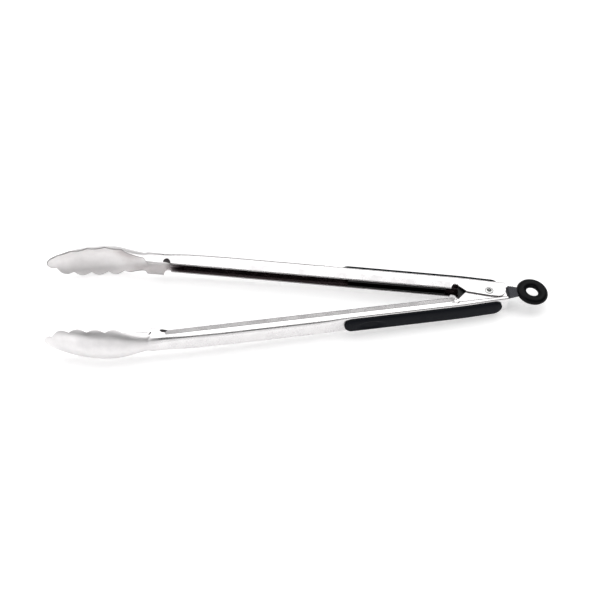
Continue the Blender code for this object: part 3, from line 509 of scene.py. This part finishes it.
def turned_steel(name, code, roughness, ring_mm):
    """Nickel-bright rivet steel with the fine rings that the riveting tool leaves round its axis."""
    material, tree, here = new_material(name)
    centred = put(tree, "ShaderNodeMapping", {"Vector": here, "Location": -HINGE})
    rings = put(tree, "ShaderNodeTexWave", {
        "Vector": centred, "Scale": 1 / (ring_mm * MM * 20), "Distortion": 1.5, "Detail": 2.0}, 1,
        wave_type="RINGS", rings_direction="Z")
    marks = put(tree, "ShaderNodeTexNoise", {"Vector": here, "Scale": 900.0, "Detail": 3.0})
    rough = put(tree, "ShaderNodeMapRange", {
        "Value": marks, "From Min": 0.3, "From Max": 0.7,
        "To Min": roughness - 0.05, "To Max": roughness + 0.1})
    bump = put(tree, "ShaderNodeBump", {"Height": rings, "Distance": 0.02 * MM, "Strength": 0.4})
    bump = put(tree, "ShaderNodeBump", {
        "Height": marks, "Distance": 0.02 * MM, "Strength": 0.3, "Normal": bump})
    output(tree, Base_Color=colour(code), Metallic=1.0, Roughness=rough, Normal=bump)
    return material


# ===== arm shape =====
# Places across half of a section: 0 is the middle of the back, 2 to 4 the corner, 5 to 6 the ear's step,
# 7 the lip's bend and 9 the free edge.
ACROSS = [*spread(0, 2, 5), *spread(2, 4, 8), *spread(4, 5, 2), *spread(5, 6, 7), *spread(6, 7, 2),
          *spread(7, 9, 6), 9]


def back_height(x):
    """Outside of the back between tail and neck."""
    tail = TAIL_DROP * ease(TAIL_LENGTH - TAIL_DROP_LENGTH, TAIL_LENGTH, x)
    neck = NECK_DROP * ease(-NECK_DISTANCE + NECK_DROP_LENGTH, -NECK_DISTANCE + 4 * MM, x)
    swell = MIDDLE_SWELL * ease(-GRIP_FRONT - 2 * MM, -GRIP_FRONT - 16 * MM, x)
    return BACK_HEIGHT - tail - neck + swell


def corner_radius(x):
    """Outside radius of the bends beside the back: tight under the pad, rounder towards the neck."""
    middle = MIDDLE_ROUNDING * ease(-GRIP_FRONT, -GRIP_FRONT - 22 * MM, x)
    neck = NECK_ROUNDING * ease(-NECK_DISTANCE + 30 * MM, -NECK_DISTANCE + 2 * MM, x)
    return CORNER_RADIUS + middle + neck


def ear_edge(x):
    """Free edge of an ear, with its slanted front and its rounded rear corner."""
    if x < -EAR_FRONT:
        t = (x + EAR_ROOT) / (EAR_ROOT - EAR_FRONT)
        return mix(EAR_ROOT_EDGE, EAR_LEAD_EDGE, min(max(t, 0), 1))
    edge = mix(EAR_LEAD_EDGE, EAR_EDGE, min((x + EAR_FRONT) / EAR_FRONT, 1))
    into_corner = x - (TAIL_LENGTH - EAR_CORNER_RADIUS)
    if into_corner > 0:
        edge += EAR_CORNER_RADIUS - sqrt(max(EAR_CORNER_RADIUS ** 2 - into_corner ** 2, 0))
    return edge


def wall_edge(x):
    """Free edge of the side walls from tail to neck."""
    if x > -LIP_HINGE_END:
        return ear_edge(x)
    return WALL_EDGE if x > -LIP_HEAD_END else COLLAR_EDGE


def lip_share(x):
    """1 where the walls have a full lip, 0 where they are flat."""
    hinge = ease(-LIP_HINGE_END, -LIP_HINGE_END - LIP_FADE, x)
    return min(hinge, ease(-LIP_HEAD_END, -LIP_HEAD_END + LIP_FADE, x))


def joggle(x, y):
    """How far an inner ear is stepped inwards at a place on the side wall."""
    front = -JOGGLE_FRONT + (JOGGLE_TOP - y) * JOGGLE_SLANT
    along = ease(front, front + JOGGLE_WIDTH * 1.6, x)
    return JOGGLE_DEPTH * min(along, ease(JOGGLE_TOP, JOGGLE_TOP - JOGGLE_WIDTH, y))


def channel_point(across, x, back, edge, half_width, inner):
    """Place (y, z) on half of the channel's section."""
    corner = corner_radius(x)
    start = back - corner
    if across < 2:
        return back, (half_width - corner) * across / 2
    if across < 4:
        angle = pi / 4 * (across - 2)
        return start + corner * cos(angle), half_width - corner * (1 - sin(angle))
    bend = WALL_EDGE + LIP_LENGTH
    low = min(mix(JOGGLE_TOP - JOGGLE_WIDTH - 0.3 * MM, bend, lip_share(x)), start - 0.6 * MM)
    heights = [start, min(JOGGLE_TOP, mix(start, low, 1 / 3)),
               max(min(JOGGLE_TOP - JOGGLE_WIDTH, mix(start, low, 2 / 3)), low + 0.1 * MM), low]
    if across < 7:
        step = int(across - 4)
        y = mix(heights[step], heights[step + 1], across - 4 - step)
    else:
        y = mix(heights[3], edge, (across - 7) / 2)
    z = half_width - LIP_LEAN * lip_share(x) / LIP_LENGTH * max(bend - y, 0)
    return y, z - (joggle(x, y) if inner else 0)


def rim_height(nose, crest_only=False):
    """Free edge of the head at a distance from the nose."""
    crest = NOSE_EDGE + RIM_RISE * ease(0, RIM_RISE_LENGTH, nose)
    last = SCALLOP_FIRST + SCALLOP_PITCH * (SCALLOP_COUNT - 1)
    if crest_only or nose >= last + SCALLOP_PITCH / 2:
        return crest
    if nose < SCALLOP_FIRST:
        return crest + SCALLOP_DEPTH * (1 - cos(pi / 2 * nose / SCALLOP_FIRST))
    return crest + SCALLOP_DEPTH * (1 - abs(sin(pi * (nose - SCALLOP_FIRST) / SCALLOP_PITCH)))


def head_half_width(nose):
    """Half width of the head's outline at a distance from the nose."""
    if nose < HEAD_ROUND_LENGTH:
        return HEAD_HALF_WIDTH * sqrt(1 - (1 - nose / HEAD_ROUND_LENGTH) ** HEAD_ROUND_POWER)
    return mix(HEAD_HALF_WIDTH, ARM_HALF_WIDTH, ease(HEAD_TAPER_START, HEAD_LENGTH, nose))


def head_point(across, x, nose, inner):
    """Place (y, z) on half of the head's section, which runs from a round bowl into the channel."""
    crest = rim_height(nose, crest_only=True)
    if nose <= 0:
        return crest, 0.0
    half_width = head_half_width(nose)
    depth = BOWL_DEPTH * (1 - (1 - min(nose / BOWL_DEPTH_LENGTH, 1)) ** 2) ** BOWL_POWER
    back = mix(crest + depth, BACK_HEIGHT - NECK_DROP + MIDDLE_SWELL,
               ease(HEAD_TAPER_START + 8 * MM, HEAD_LENGTH, nose))
    radius = (half_width ** 2 + (back - crest) ** 2) / (2 * (back - crest))
    full = atan2(half_width, radius - back + crest)
    rim = rim_height(nose)
    angle = min(acos(min(max((rim - back + radius) / radius, -1), 1)), full) * across / 9
    bowl = (back - radius + radius * cos(angle), radius * sin(angle))
    share = ease(HEAD_LENGTH - NECK_CREASE, HEAD_LENGTH, nose)
    if share == 0:
        return bowl
    channel = channel_point(across, x, back, mix(rim, COLLAR_EDGE, share), half_width, inner)
    return mix(bowl[0], channel[0], share), mix(bowl[1], channel[1], share)


def arm_stations():
    """Places along the arm, from the tail to the neck, where its section is set."""
    places = [TAIL_LENGTH - EAR_CORNER_RADIUS * (1 - s) for _, s in arc(90, 0, -9)]
    places += spread(TAIL_LENGTH - EAR_CORNER_RADIUS, -EAR_FRONT, 12) + spread(-EAR_FRONT, -EAR_ROOT, 8)
    places += [-EAR_ROOT, -LIP_HINGE_END + 1.2 * MM, -LIP_HINGE_END + 0.6 * MM, -LIP_HINGE_END - 0.6 * MM]
    places += spread(-LIP_HINGE_END - 1.2 * MM, -36 * MM, 9)
    places += spread(-36 * MM, -NECK_DISTANCE + NECK_DROP_LENGTH, 16)
    places += spread(-NECK_DISTANCE + NECK_DROP_LENGTH, -LIP_HEAD_END + LIP_FADE, 12)
    places += spread(-LIP_HEAD_END + LIP_FADE, -LIP_HEAD_END + 0.6 * MM, 4) + [-LIP_HEAD_END + 0.6 * MM]
    return places + spread(-LIP_HEAD_END - 0.6 * MM, -NECK_DISTANCE, 9) + [-NECK_DISTANCE]


def head_stations(head_length):
    """Distances from the nose, from the neck to the nose."""
    steps = bpy.context.scene.tongs_arm.scallop_steps
    last = SCALLOP_FIRST + SCALLOP_PITCH * (SCALLOP_COUNT - 0.5)
    places = [SCALLOP_FIRST * share for share in (0.0, 0.02, 0.06, 0.12, 0.2, 0.3, 0.42, 0.56, 0.7, 0.85)]
    places += spread(SCALLOP_FIRST, last, steps * SCALLOP_COUNT - steps // 2)
    crease = HEAD_LENGTH - NECK_CREASE - MM
    places += spread(last, crease, 8) + spread(crease, HEAD_LENGTH + 0.5 * MM, 12)
    if head_length > HEAD_LENGTH + MM:
        places += spread(HEAD_LENGTH + 0.5 * MM, head_length, 6)
    return list(reversed(places))


def join_painted_shade(arm, tool):
    """Join a small part on in the arm's last material, the painted shade marks."""
    tool.data.materials.append(arm.data.materials[3])
    only(arm)
    tool.select_set(True)
    bpy.ops.object.join()


def add_shade_web(arm, matrix):
    """Thin dark web at the bottom of the upper relief notch by the head: painted shade of the shadowed
    opening of the rolled lip.
    """
    low, high = WALL_EDGE + 0.1 * MM, WALL_EDGE + RELIEF_HEIGHT + 0.3 * MM
    points = [matrix @ Vector((x * MM - LIP_HEAD_END, low, z * MM)) for x, z in SHADE_WEB]
    join_painted_shade(arm, prism("web", points, matrix.to_3x3() @ Vector((0, high - low, 0))))


def add_shade_stroke(arm, matrix, start, end):
    """Short dark tapered wedge between two places on the upper side wall: painted shade of a crease or a
    step.
    """
    across = Vector((start.y - end.y, end.x - start.x, 0)).normalized() * SHADE_STROKE_HALF_WIDTH
    points = (start - across, end - across * 0.4, end + across * 0.4, start + across)
    join_painted_shade(arm, prism("shade_stroke", [matrix @ point for point in points], Vector((0, 0, SHADE_STROKE_RISE))))


def build_arm(name, head_length, inner):
    """Press a flat blank to the arm's sections, thicken it and cut its holes and relief notches."""
    settings = bpy.context.scene.tongs_arm
    matrix = arm_matrix(inner)
    sections = [(x, None) for x in arm_stations()]
    sections += [(-(NECK_DISTANCE + head_length - nose), nose) for nose in head_stations(head_length)]
    half = len(ACROSS) - 1

    def place(row, column):
        """Point of the pressed blank."""
        x, nose = sections[row]
        side = 1 if column <= half else -1
        across = ACROSS[abs(half - column)]
        if nose is None:
            y, z = channel_point(across, x, back_height(x), wall_edge(x), ARM_HALF_WIDTH, inner)
        else:
            y, z = head_point(across, x, nose, inner)
        return matrix @ Vector((x, y, side * z))

    arm = pressed_grid(name, len(sections), 2 * half + 1, place)
    with editing(arm):
        bpy.ops.mesh.remove_doubles(threshold=1.5 * WELD)
        if inner:
            bpy.ops.mesh.flip_normals()
    for face in ("outside", "inside", "edge"):
        arm.data.materials.append(stainless_sheet(inner, face))
    # the fourth material is painted shade, for the dark web and the dark strokes
    arm.data.materials.append(painted_shade_mark())
    apply_modifier(arm, "SOLIDIFY", thickness=settings.sheet, offset=-1, use_even_offset=True,
                   material_offset=1, material_offset_rim=2)
    apply_modifier(arm, "BEVEL", width=settings.edge, segments=2, angle_limit=radians(65))
    cut(arm, rod("rivet_hole", SPOOL_BORE, (-20 * MM, 20 * MM), "Z", Matrix.Translation(HINGE)))
    for distance in (LIP_HINGE_END, LIP_HEAD_END):
        shape = Matrix.Diagonal((RELIEF_HALF_LENGTH, RELIEF_HEIGHT, 1, 1))
        shape = matrix @ Matrix.Translation((-distance, WALL_EDGE, 0)) @ shape
        cut(arm, rod("relief", 1, (-ARM_HALF_WIDTH * 1.5, ARM_HALF_WIDTH * 1.5), "Z", shape))
    for distance in STUD_PLACES:
        ends = (BACK_HEIGHT - 3 * MM, BACK_HEIGHT + 3 * MM)
        cut(arm, rod("stud_hole", STUD_RADIUS + GAP, ends, "Y", matrix, -distance))
    add_shade_web(arm, matrix)
    if inner:
        for shade_stroke in SHADE_STROKES:
            add_shade_stroke(arm, matrix, *(Vector(place) * MM for place in shade_stroke))
    return smooth(arm)


class TONGS_OT_arms(bpy.types.Operator):
    """Press the two arms with their scalloped heads"""
    bl_idname = "tongs.build_arms"
    bl_label = "Arms"

    def execute(self, context):
        for side, length in (("outer", HEAD_LENGTH + HEAD_STAGGER), ("inner", HEAD_LENGTH)):
            arm = build_arm(side + "_arm_pressed", length, side == "inner")
            finish_piece(arm, side + "_half", side + "_arm", "stainless_steel")
        return {"FINISHED"}


# ===== grips =====
def build_grip(name, inner):
    """Soft pad with round ends, a crowned top and a shallow thumb rest near its front."""
    settings = bpy.context.scene.tongs_grip
    matrix = arm_matrix(inner)
    width = settings.half_width
    length = GRIP_FRONT + GRIP_REAR
    rounds = [width * (1 - c) for c, _ in arc(0, 90, 6)]
    along = rounds + spread(width, length - width, 60) + [length - place for place in reversed(rounds)]
    turns = spread(0, 40, 12) + spread(40, 140, 20) + spread(140, 180, 12) + [180]

    def place(row, column):
        """Point of the pad's crown over the back."""
        x = -GRIP_FRONT + along[row]
        into_end = min(along[row], length - along[row], width)
        share = sqrt(max(1 - (1 - into_end / width) ** 2, 0))
        seat = back_height(x) + GAP
        if column in (0, len(turns) + 1):
            return matrix @ Vector((x, seat, (1 if column == 0 else -1) * width * share * 0.95))
        turn = radians(turns[column - 1])
        crown = mix(1.1 * MM, settings.height, share)
        z = width * share * copysign(abs(cos(turn)) ** GRIP_SIDE_POWER, cos(turn))
        y = seat + 0.35 * MM + (crown - 0.35 * MM) * sin(turn) ** GRIP_CROWN_POWER
        reach = ((x + REST_PLACE) / REST_LENGTH) ** 2 + (z / REST_WIDTH) ** 2
        y -= settings.dimple * (1 - ease(0.45, 1.0, reach))
        return matrix @ Vector((x, y, z))

    grip = pressed_grid(name, len(along), len(turns) + 2, place)
    close_ends(grip, bpy.ops.mesh.fill)
    for distance in STUD_PLACES:
        seat = back_height(-distance) + GAP
        cut(grip, rod("socket", STUD_RADIUS + GAP, (seat - MM, seat + 1.2 * MM), "Y", matrix, -distance))
    return smooth(grip, 40)


def build_liner(name, inner):
    """Channel-shaped liner with stiffening ribs inside and studs that go through the back into the pad."""
    matrix = arm_matrix(inner)
    top, wide = BACK_HEIGHT - 1.3 * MM, ARM_HALF_WIDTH - 1.3 * MM
    bend, low, wall = WALL_EDGE + LIP_LENGTH + 2 * GAP, WALL_EDGE + GAP, 1.2 * MM
    narrow = wide - LIP_LEAN * (bend - low) / LIP_LENGTH - 0.1 * MM
    corner = [(top - MM * (1 - c), wide - MM * (1 - s)) for c, s in arc(0, 91, 15)]
    half = corner + [(bend, wide), (low, narrow), (low, narrow - wall), (bend - 0.3 * MM, wide - wall),
                     (top - wall, wide - wall)]
    outline = half + [(y, -z) for y, z in reversed(half)]
    start, end = matrix @ Vector((-LINER_FRONT, 0, 0)), matrix @ Vector((-LINER_REAR, 0, 0))
    liner = prism(name, [matrix @ Vector((-LINER_FRONT, y, z)) for y, z in outline], end - start)
    for distance in STUD_PLACES:
        stud = rod("stud", STUD_RADIUS, (top - wall / 2, BACK_HEIGHT + 1.2 * MM), "Y", matrix, -distance)
        cut(liner, stud, "UNION")
    for index in range(6):
        x = mix(-LINER_FRONT + 6 * MM, -LINER_REAR - 6 * MM, index / 5)
        high, deep, side = top - wall / 2, top - wall - 0.5 * MM, wide - wall / 2
        corners = ((high, side), (deep, side), (deep, -side), (high, -side))
        shape = [matrix @ Vector((x, y, z)) for y, z in corners]
        cut(liner, prism("rib", shape, (end - start).normalized() * 0.8 * MM), "UNION")
    return smooth(liner, 30)


class TONGS_OT_grips(bpy.types.Operator):
    """Make the two soft pads and the liners that hold them"""
    bl_idname = "tongs.build_grips"
    bl_label = "Grips and liners"

    def execute(self, context):
        settings = context.scene.tongs_grip
        # thermoplastic rubber from a spark-eroded mould: soft, matte, with a grain of 0.35 mm
        rubber = moulded("grip_rubber_moulded", settings.rubber, 0.5, 0.35, 0.03, specular=0.1, ior=1.4)
        # black nylon from a plain mould: harder and a little glossier, with flow marks
        nylon = moulded("liner_nylon_moulded", settings.nylon, 0.42, 0.8, 0.02, ior=1.53, specular=0.2)
        for side, inner in (("outer", False), ("inner", True)):
            grip, liner = build_grip(side + "_grip_pad", inner), build_liner(side + "_liner_channel", inner)
            finish_piece(grip, side + "_half", side + "_grip", "grip_rubber", rubber)
            finish_piece(liner, side + "_half", side + "_grip_liner", "liner_nylon", nylon)
        return {"FINISHED"}


# ===== hinge =====
class TONGS_OT_rivet(bpy.types.Operator):
    """Turn the hollow rivet and the spool on it"""
    bl_idname = "tongs.build_rivet"
    bl_label = "Rivet and spool"

    def execute(self, context):
        settings = context.scene.tongs_hinge
        face = ARM_HALF_WIDTH + GAP / 2
        top, bottom = face + 0.6 * MM, -face - 1.1 * MM
        bore, shank, roll, head = settings.bore_radius, settings.rivet_radius, 3.4 * MM, 3.9 * MM
        profile = [(0, top - 4.0 * MM), (bore * 0.7, top - 4.0 * MM), (bore, top - 3.6 * MM),
                   (bore, top - 0.5 * MM)]
        profile += [(bore + 0.35 * MM * (1 - c), top - 0.35 * MM * (1 - s)) for c, s in arc(15, 91, 15)]
        profile += [(2.4 * MM, top - 0.04 * MM), (2.8 * MM, top - 0.14 * MM), (3.1 * MM, top - 0.28 * MM),
                    (roll - 0.08 * MM, face + 0.17 * MM), (roll, face), (shank, face), (shank, -face),
                    (head, -face), (head, -face - 0.25 * MM)]
        profile += [(head * c, mix(-face - 0.25 * MM, bottom, s)) for c, s in arc(15, 90, 15)] + [(0, bottom)]
        rivet = turned("hinge_rivet_turned", profile)
        smooth(rivet, 40)
        finish_piece(rivet, "hinge_core", "hinge_rivet", "stainless_steel",
                     turned_steel("rivet_steel_bright", "#C9C9C8", 0.24, 0.25))
        low, high, flange, edge = SPOOL_BOTTOM, SPOOL_TOP, SPOOL_FLANGE_RADIUS, 0.15 * MM
        spool = turned("spring_spool_turned", [
            (SPOOL_BORE, high), (SPOOL_RADIUS - edge, high), (SPOOL_RADIUS, high - edge),
            (SPOOL_RADIUS, low + SPOOL_FLANGE), (flange - edge, low + SPOOL_FLANGE),
            (flange, low + SPOOL_FLANGE - edge), (flange, low + edge), (flange - edge, low),
            (SPOOL_BORE, low), (SPOOL_BORE, high)])
        smooth(spool, 40)
        # acetal, moulded: slippery, with a waxy half gloss
        finish_piece(spool, "hinge_core", "spring_spool", "liner_nylon",
                     moulded("spool_acetal", "#1B1B1D", 0.36, 0.9, 0.01, ior=1.48))
        return {"FINISHED"}


def build_half_spring(name, upper):
    """Half of the coil, wound from a wire section, with its leg drawn out straight."""
    wire = bpy.context.scene.tongs_hinge.wire
    coil = SPOOL_RADIUS + GAP + wire / 2
    inside = (BACK_HEIGHT - MM - GAP) * cos(HALF_OPEN) - wire / 2
    end_y = inside + SPRING_LEG_REACH * tan(HALF_OPEN)
    reach = hypot(SPRING_LEG_REACH, end_y)
    leg = sqrt(reach ** 2 - coil ** 2)
    slope = atan2(end_y, SPRING_LEG_REACH) - asin(coil / reach)
    start, sweep = pi / 2 - slope, 2 * pi * SPRING_TURNS - 2 * slope
    low, high = SPOOL_BOTTOM + SPOOL_FLANGE + GAP + wire / 2, SPOOL_TOP - wire / 2
    begin, height, way = (start, high, -1) if upper else (start - sweep, low, 1)
    turn = Matrix.Translation(at(0, 0, height)) @ Matrix.Rotation(begin, 4, "Z")
    angles = [2 * pi * side / WIRE_SIDES for side in range(WIRE_SIDES)]
    section = [turn @ Vector((coil - sin(a) * wire / 2, 0, cos(a) * wire / 2)) for a in angles]
    tangent = Vector((-sin(begin), cos(begin), 0)) * -way
    rise = (high - low) / sweep

    def place(row, column):
        """Point on the wire: the leg's end, the leg's root, then round the coil."""
        corner = section[column % len(section)]
        if row < 2:
            return corner + tangent * leg * (1 - row)
        angle = way * sweep / 2 * (row - 1) / COIL_STEPS
        turn = Matrix.Translation(HINGE) @ Matrix.Rotation(angle, 4, "Z") @ Matrix.Translation(-HINGE)
        return turn @ corner + Vector((0, 0, rise * angle))

    wound = pressed_grid(name, COIL_STEPS + 2, WIRE_SIDES + 1, place)
    close_ends(wound, bpy.ops.mesh.edge_face_add)
    return smooth(wound, 40)


class TONGS_OT_spring(bpy.types.Operator):
    """Wind the torsion spring in two halves, each with the leg that pushes one arm"""
    bl_idname = "tongs.build_spring"
    bl_label = "Spring"

    def execute(self, context):
        material = drawn_wire()
        for part, body in (("upper", "outer_half"), ("lower", "inner_half")):
            half = build_half_spring("torsion_spring_" + part, part == "upper")
            finish_piece(half, None, "torsion_spring", "spring_steel", material)
            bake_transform(half)
        return {"FINISHED"}


def drawn_wire():
    """Spring steel wire, drawn and oil hardened: grey, half bright, with fine spots of 0.5 mm."""
    settings = bpy.context.scene.tongs_hinge
    material, tree, here = new_material("spring_wire_drawn")
    spots = put(tree, "ShaderNodeTexNoise", {"Vector": here, "Scale": 2000.0, "Detail": 3.0})
    rough = put(tree, "ShaderNodeMapRange", {
        "Value": spots, "From Min": 0.3, "From Max": 0.7, "To Min": 0.26, "To Max": 0.42})
    bump = put(tree, "ShaderNodeBump", {"Height": spots, "Distance": 0.02 * MM, "Strength": 0.3})
    output(tree, Base_Color=colour(settings.wire_steel), Metallic=1.0, Roughness=rough, Normal=bump)
    return material


# ===== lock =====
def build_slider():
    """Flat slider with a wide head and a slot for the rivet, and a ribbed neck that enters the ring."""
    settings = bpy.context.scene.tongs_lock
    half = [(-SLIDER_FRONT, SLIDER_HEAD, 4 * MM), (-SLIDER_HEAD_END, SLIDER_HEAD, 0.5 * MM),
            (-SLIDER_HEAD_END, SLIDER_WAIST, 0.5 * MM), (TAIL_LENGTH, SLIDER_WAIST, 2 * MM),
            (TAIL_LENGTH, BLOCK_HALF_WIDTH, 0), (BLOCK_START + MM, BLOCK_HALF_WIDTH - 0.3 * MM, 0)]
    corners = half + [(x, -y, radius) for x, y, radius in reversed(half)]
    plate = prism("lock_slider_moulded", [at(p.x, p.y, SLIDER_BOTTOM) for p in rounded(corners)],
                  (0, 0, SLIDER_TOP - SLIDER_BOTTOM))
    front, side, radius = -SLIDER_TRAVEL - SLOT_HALF_WIDTH, SLOT_HALF_WIDTH, SLOT_HALF_WIDTH * 0.99
    slot = rounded([(front, side, radius), (side, side, radius), (side, -side, radius),
                    (front, -side, radius)], steps=10)
    cut(plate, prism("slot", [at(p.x, p.y, SLIDER_BOTTOM - MM) for p in slot], (0, 0, 4 * MM)))
    apply_modifier(plate, "BEVEL", width=0.18 * MM, segments=2, angle_limit=radians(50))
    # the neck's side outline with ribs on both faces, drawn across and then tapered towards the ring
    rise = settings.rib_height
    pitch = (RIBS_END - BLOCK_START) / (settings.rib_count + 0.5)
    ribs = []
    for index in range(settings.rib_count):
        x = BLOCK_START + pitch * (index + 0.5)
        ribs += [(x, 0), (x + 0.15 * pitch, rise), (x + 0.45 * pitch, rise), (x + 0.6 * pitch, 0)]
    outline = []
    for side in (1, -1):
        face = BLOCK_MIDDLE + side * BLOCK_THICKNESS / 2
        line = [(BLOCK_START, face - side * 0.9 * MM), (BLOCK_START + 0.6 * MM, face - side * rise)]
        line += [(x, face - side * rise + side * h) for x, h in ribs if x > BLOCK_START + 0.7 * MM]
        line += [(BLOCK_END, face - side * rise)]
        outline += [at(x, -BLOCK_HALF_WIDTH, z) for x, z in line[::side]]
    neck = prism("neck", outline, (0, 2 * BLOCK_HALF_WIDTH, 0))
    for vertex in neck.data.vertices:
        share = (vertex.co.x - HINGE.x - BLOCK_START) / (BLOCK_END - BLOCK_START)
        vertex.co.y *= mix(1, BLOCK_END_HALF_WIDTH / BLOCK_HALF_WIDTH, share)
    apply_modifier(neck, "BEVEL", width=0.3 * MM, segments=3, angle_limit=radians(75))
    cut(plate, neck, "UNION")
    start, end, side = TONGUE_START, TONGUE_END, TONGUE_HALF_WIDTH
    tongue = [(start, -side), (end, -side), (end, side), (start, side)]
    bar = prism("tongue", [at(x, y, BLOCK_MIDDLE - 0.8 * MM) for x, y in tongue], (0, 0, 1.6 * MM))
    cut(plate, bar, "UNION")
    return smooth(plate, 30)


def build_ring():
    """Rubber ring with a parting line, and a pocket for the slider's neck."""
    settings = bpy.context.scene.tongs_lock
    deselect()
    bpy.ops.mesh.primitive_torus_add(major_segments=120, minor_segments=40, major_radius=settings.ring_radius,
                                     minor_radius=settings.ring_section - 0.1 * MM, location=(0, 0, 0))
    ring = named("pull_ring_moulded")
    with editing(ring):
        bpy.ops.transform.resize(value=(1, 1, RING_FLATNESS))
    for vertex in ring.data.vertices:
        out = hypot(vertex.co.x, vertex.co.y)
        if abs(vertex.co.z) < 0.01 * MM and out > settings.ring_radius:
            vertex.co *= 1 + PARTING_LINE / out
    tilt = Matrix.Rotation(RING_TILT, 4, "Y")
    ring.data.transform(Matrix.Translation(at(RING_CENTRE, 0, BLOCK_MIDDLE)) @ tilt)
    # room for the neck and, deeper, for the tongue
    for start, end, wide, high in ((18, 24, 4.2, 1.9), (20, 27.2, 2.9, 1.1)):
        shape = [(wide, high), (-wide, high), (-wide, -high), (wide, -high)]
        pocket = [at(start * MM, y * MM, BLOCK_MIDDLE + z * MM) for y, z in shape]
        cut(ring, prism("pocket", pocket, (end * MM - start * MM, 0, 0)))
    return smooth(ring, 40)


class TONGS_OT_lock(bpy.types.Operator):
    """Make the lock slider and its pull ring"""
    bl_idname = "tongs.build_lock"
    bl_label = "Slider and ring"

    def execute(self, context):
        settings = context.scene.tongs_lock
        # glass-filled nylon: dark grey, dry, with a grain of 0.4 mm where the fibres lie near the surface
        # the slider's end between the arms is darkened as painted shade
        nylon = moulded("slider_nylon_glass_filled", settings.nylon, 0.5, 0.4, 0.03, ior=1.53, specular=0.25,
                        mottle=0.18, shaded_between_arms=True)
        # compression-moulded rubber: denser and glossier than the grips, with a slight bloom
        rubber = moulded("ring_rubber_moulded", settings.rubber, 0.33, 0.6, 0.012, ior=1.45, specular=0.12)
        finish_piece(build_slider(), "lock", "lock_slider", "slider_nylon", nylon)
        finish_piece(build_ring(), "lock", "pull_ring", "ring_rubber", rubber)
        return {"FINISHED"}


# ===== stage =====
class TONGS_OT_stage(bpy.types.Operator):
    """Lay the floor, light the tongs and set the camera"""
    bl_idname = "tongs.build_stage"
    bl_label = "Stage"

    def execute(self, context):
        scene = context.scene
        settings = scene.tongs_stage
        self.lay_floor(settings)
        self.hang_panel("softbox", settings.softbox, (0.0, 0.52, 1.3), (3.0, 1.62))
        self.hang_panel("front_card", settings.front, (0.0, -1.6, 0.62), (3.6, 1.2))
        self.hang_panel("back_card", settings.back, (0.0, 1.9, 0.3), (3.8, 0.55))
        self.hang_panel("side_card", settings.side, (-1.5, -0.75, 0.55), (1.7, 1.1))
        world = bpy.data.worlds.new("dim_room")
        world.use_nodes = True
        background = world.node_tree.nodes["Background"].inputs
        background["Color"].default_value = colour("#FFFFFF")
        background["Strength"].default_value = settings.room
        scene.world = world
        camera = bpy.data.cameras.new("camera")
        camera.sensor_width = 36
        camera.lens = settings.lens
        camera.clip_start, camera.clip_end = 0.01, 50
        holder = bpy.data.objects.new("camera", camera)
        holder.location = settings.camera_place
        holder.rotation_euler = settings.camera_turn
        scene.collection.objects.link(holder)
        scene.camera = holder
        scene.view_settings.view_transform = "Standard"
        return {"FINISHED"}

    def lay_floor(self, settings):
        """Wide pale floor, tilted so that the heads and the rivet's head touch it."""
        deselect()
        bpy.ops.mesh.primitive_circle_add(vertices=96, radius=6, fill_type="NGON")
        floor = named("floor")
        tilt = atan2(RIVET_LOW.z - 0.05 * MM, HINGE.x + FLOOR_TOUCH)
        touch = Matrix.Translation((-FLOOR_TOUCH, 0, -0.02 * MM))
        floor.data.transform(touch @ Matrix.Rotation(-tilt, 4, "Y"))
        material, tree, here = new_material("floor_card")
        tooth = put(tree, "ShaderNodeTexNoise", {"Vector": here, "Scale": 900.0, "Detail": 2.0})
        bump = put(tree, "ShaderNodeBump", {"Height": tooth, "Distance": 0.02 * MM, "Strength": 0.2})
        output(tree, Base_Color=colour(settings.floor), Roughness=0.8, Normal=bump,
               Specular_IOR_Level=0.1, Emission_Color=colour("#FFFFFF"), Emission_Strength=settings.glow)
        floor.data.materials.append(material)

    def hang_panel(self, name, brightness, place, size):
        """Soft rectangular panel that faces the middle of the tongs."""
        light = bpy.data.lights.new(name, "AREA")
        light.shape = "RECTANGLE"
        light.size, light.size_y = size
        light.energy = brightness * pi * size[0] * size[1]
        holder = bpy.data.objects.new(name, light)
        holder.location = place
        towards = Vector((0, 0, 0.01)) - Vector(place)
        holder.rotation_euler = towards.to_track_quat("-Z", "Y").to_euler()
        bpy.context.scene.collection.objects.link(holder)


class TONGS_PT_panel(bpy.types.Panel):
    """Lists the tongs' pieces and their settings"""
    bl_idname = "TONGS_PT_panel"
    bl_label = "Kitchen tongs"
    bl_space_type = "VIEW_3D"
    bl_region_type = "UI"
    bl_category = "Tongs"

    def draw(self, context):
        for operator in OPERATORS:
            self.layout.operator(operator.bl_idname)
        for name in SETTINGS:
            group = getattr(context.scene, name)
            column = self.layout.box().column()
            for key in group.__annotations__:
                column.prop(group, key)


SETTINGS = {"tongs_arm": TongsArmSettings, "tongs_grip": TongsGripSettings, "tongs_hinge": TongsHingeSettings,
            "tongs_lock": TongsLockSettings, "tongs_stage": TongsStageSettings}
OPERATORS = (TONGS_OT_arms, TONGS_OT_grips, TONGS_OT_rivet, TONGS_OT_spring, TONGS_OT_lock, TONGS_OT_stage)
CLASSES = (*SETTINGS.values(), *OPERATORS, TONGS_PT_panel)


def register():
    """Register the classes and hang the settings on the scene."""
    for item in CLASSES:
        bpy.utils.register_class(item)
    for name, group in SETTINGS.items():
        setattr(bpy.types.Scene, name, PointerProperty(type=group))


def unregister():
    """Take the settings and the classes away again."""
    for name in SETTINGS:
        delattr(bpy.types.Scene, name)
    for item in reversed(CLASSES):
        bpy.utils.unregister_class(item)


def main():
    """Build every piece and the stage."""
    register()
    bpy.ops.tongs.build_arms()
    bpy.ops.tongs.build_grips()
    bpy.ops.tongs.build_rivet()
    bpy.ops.tongs.build_spring()
    bpy.ops.tongs.build_lock()
    bpy.ops.tongs.build_stage()


if __name__ == "__main__":
    main()
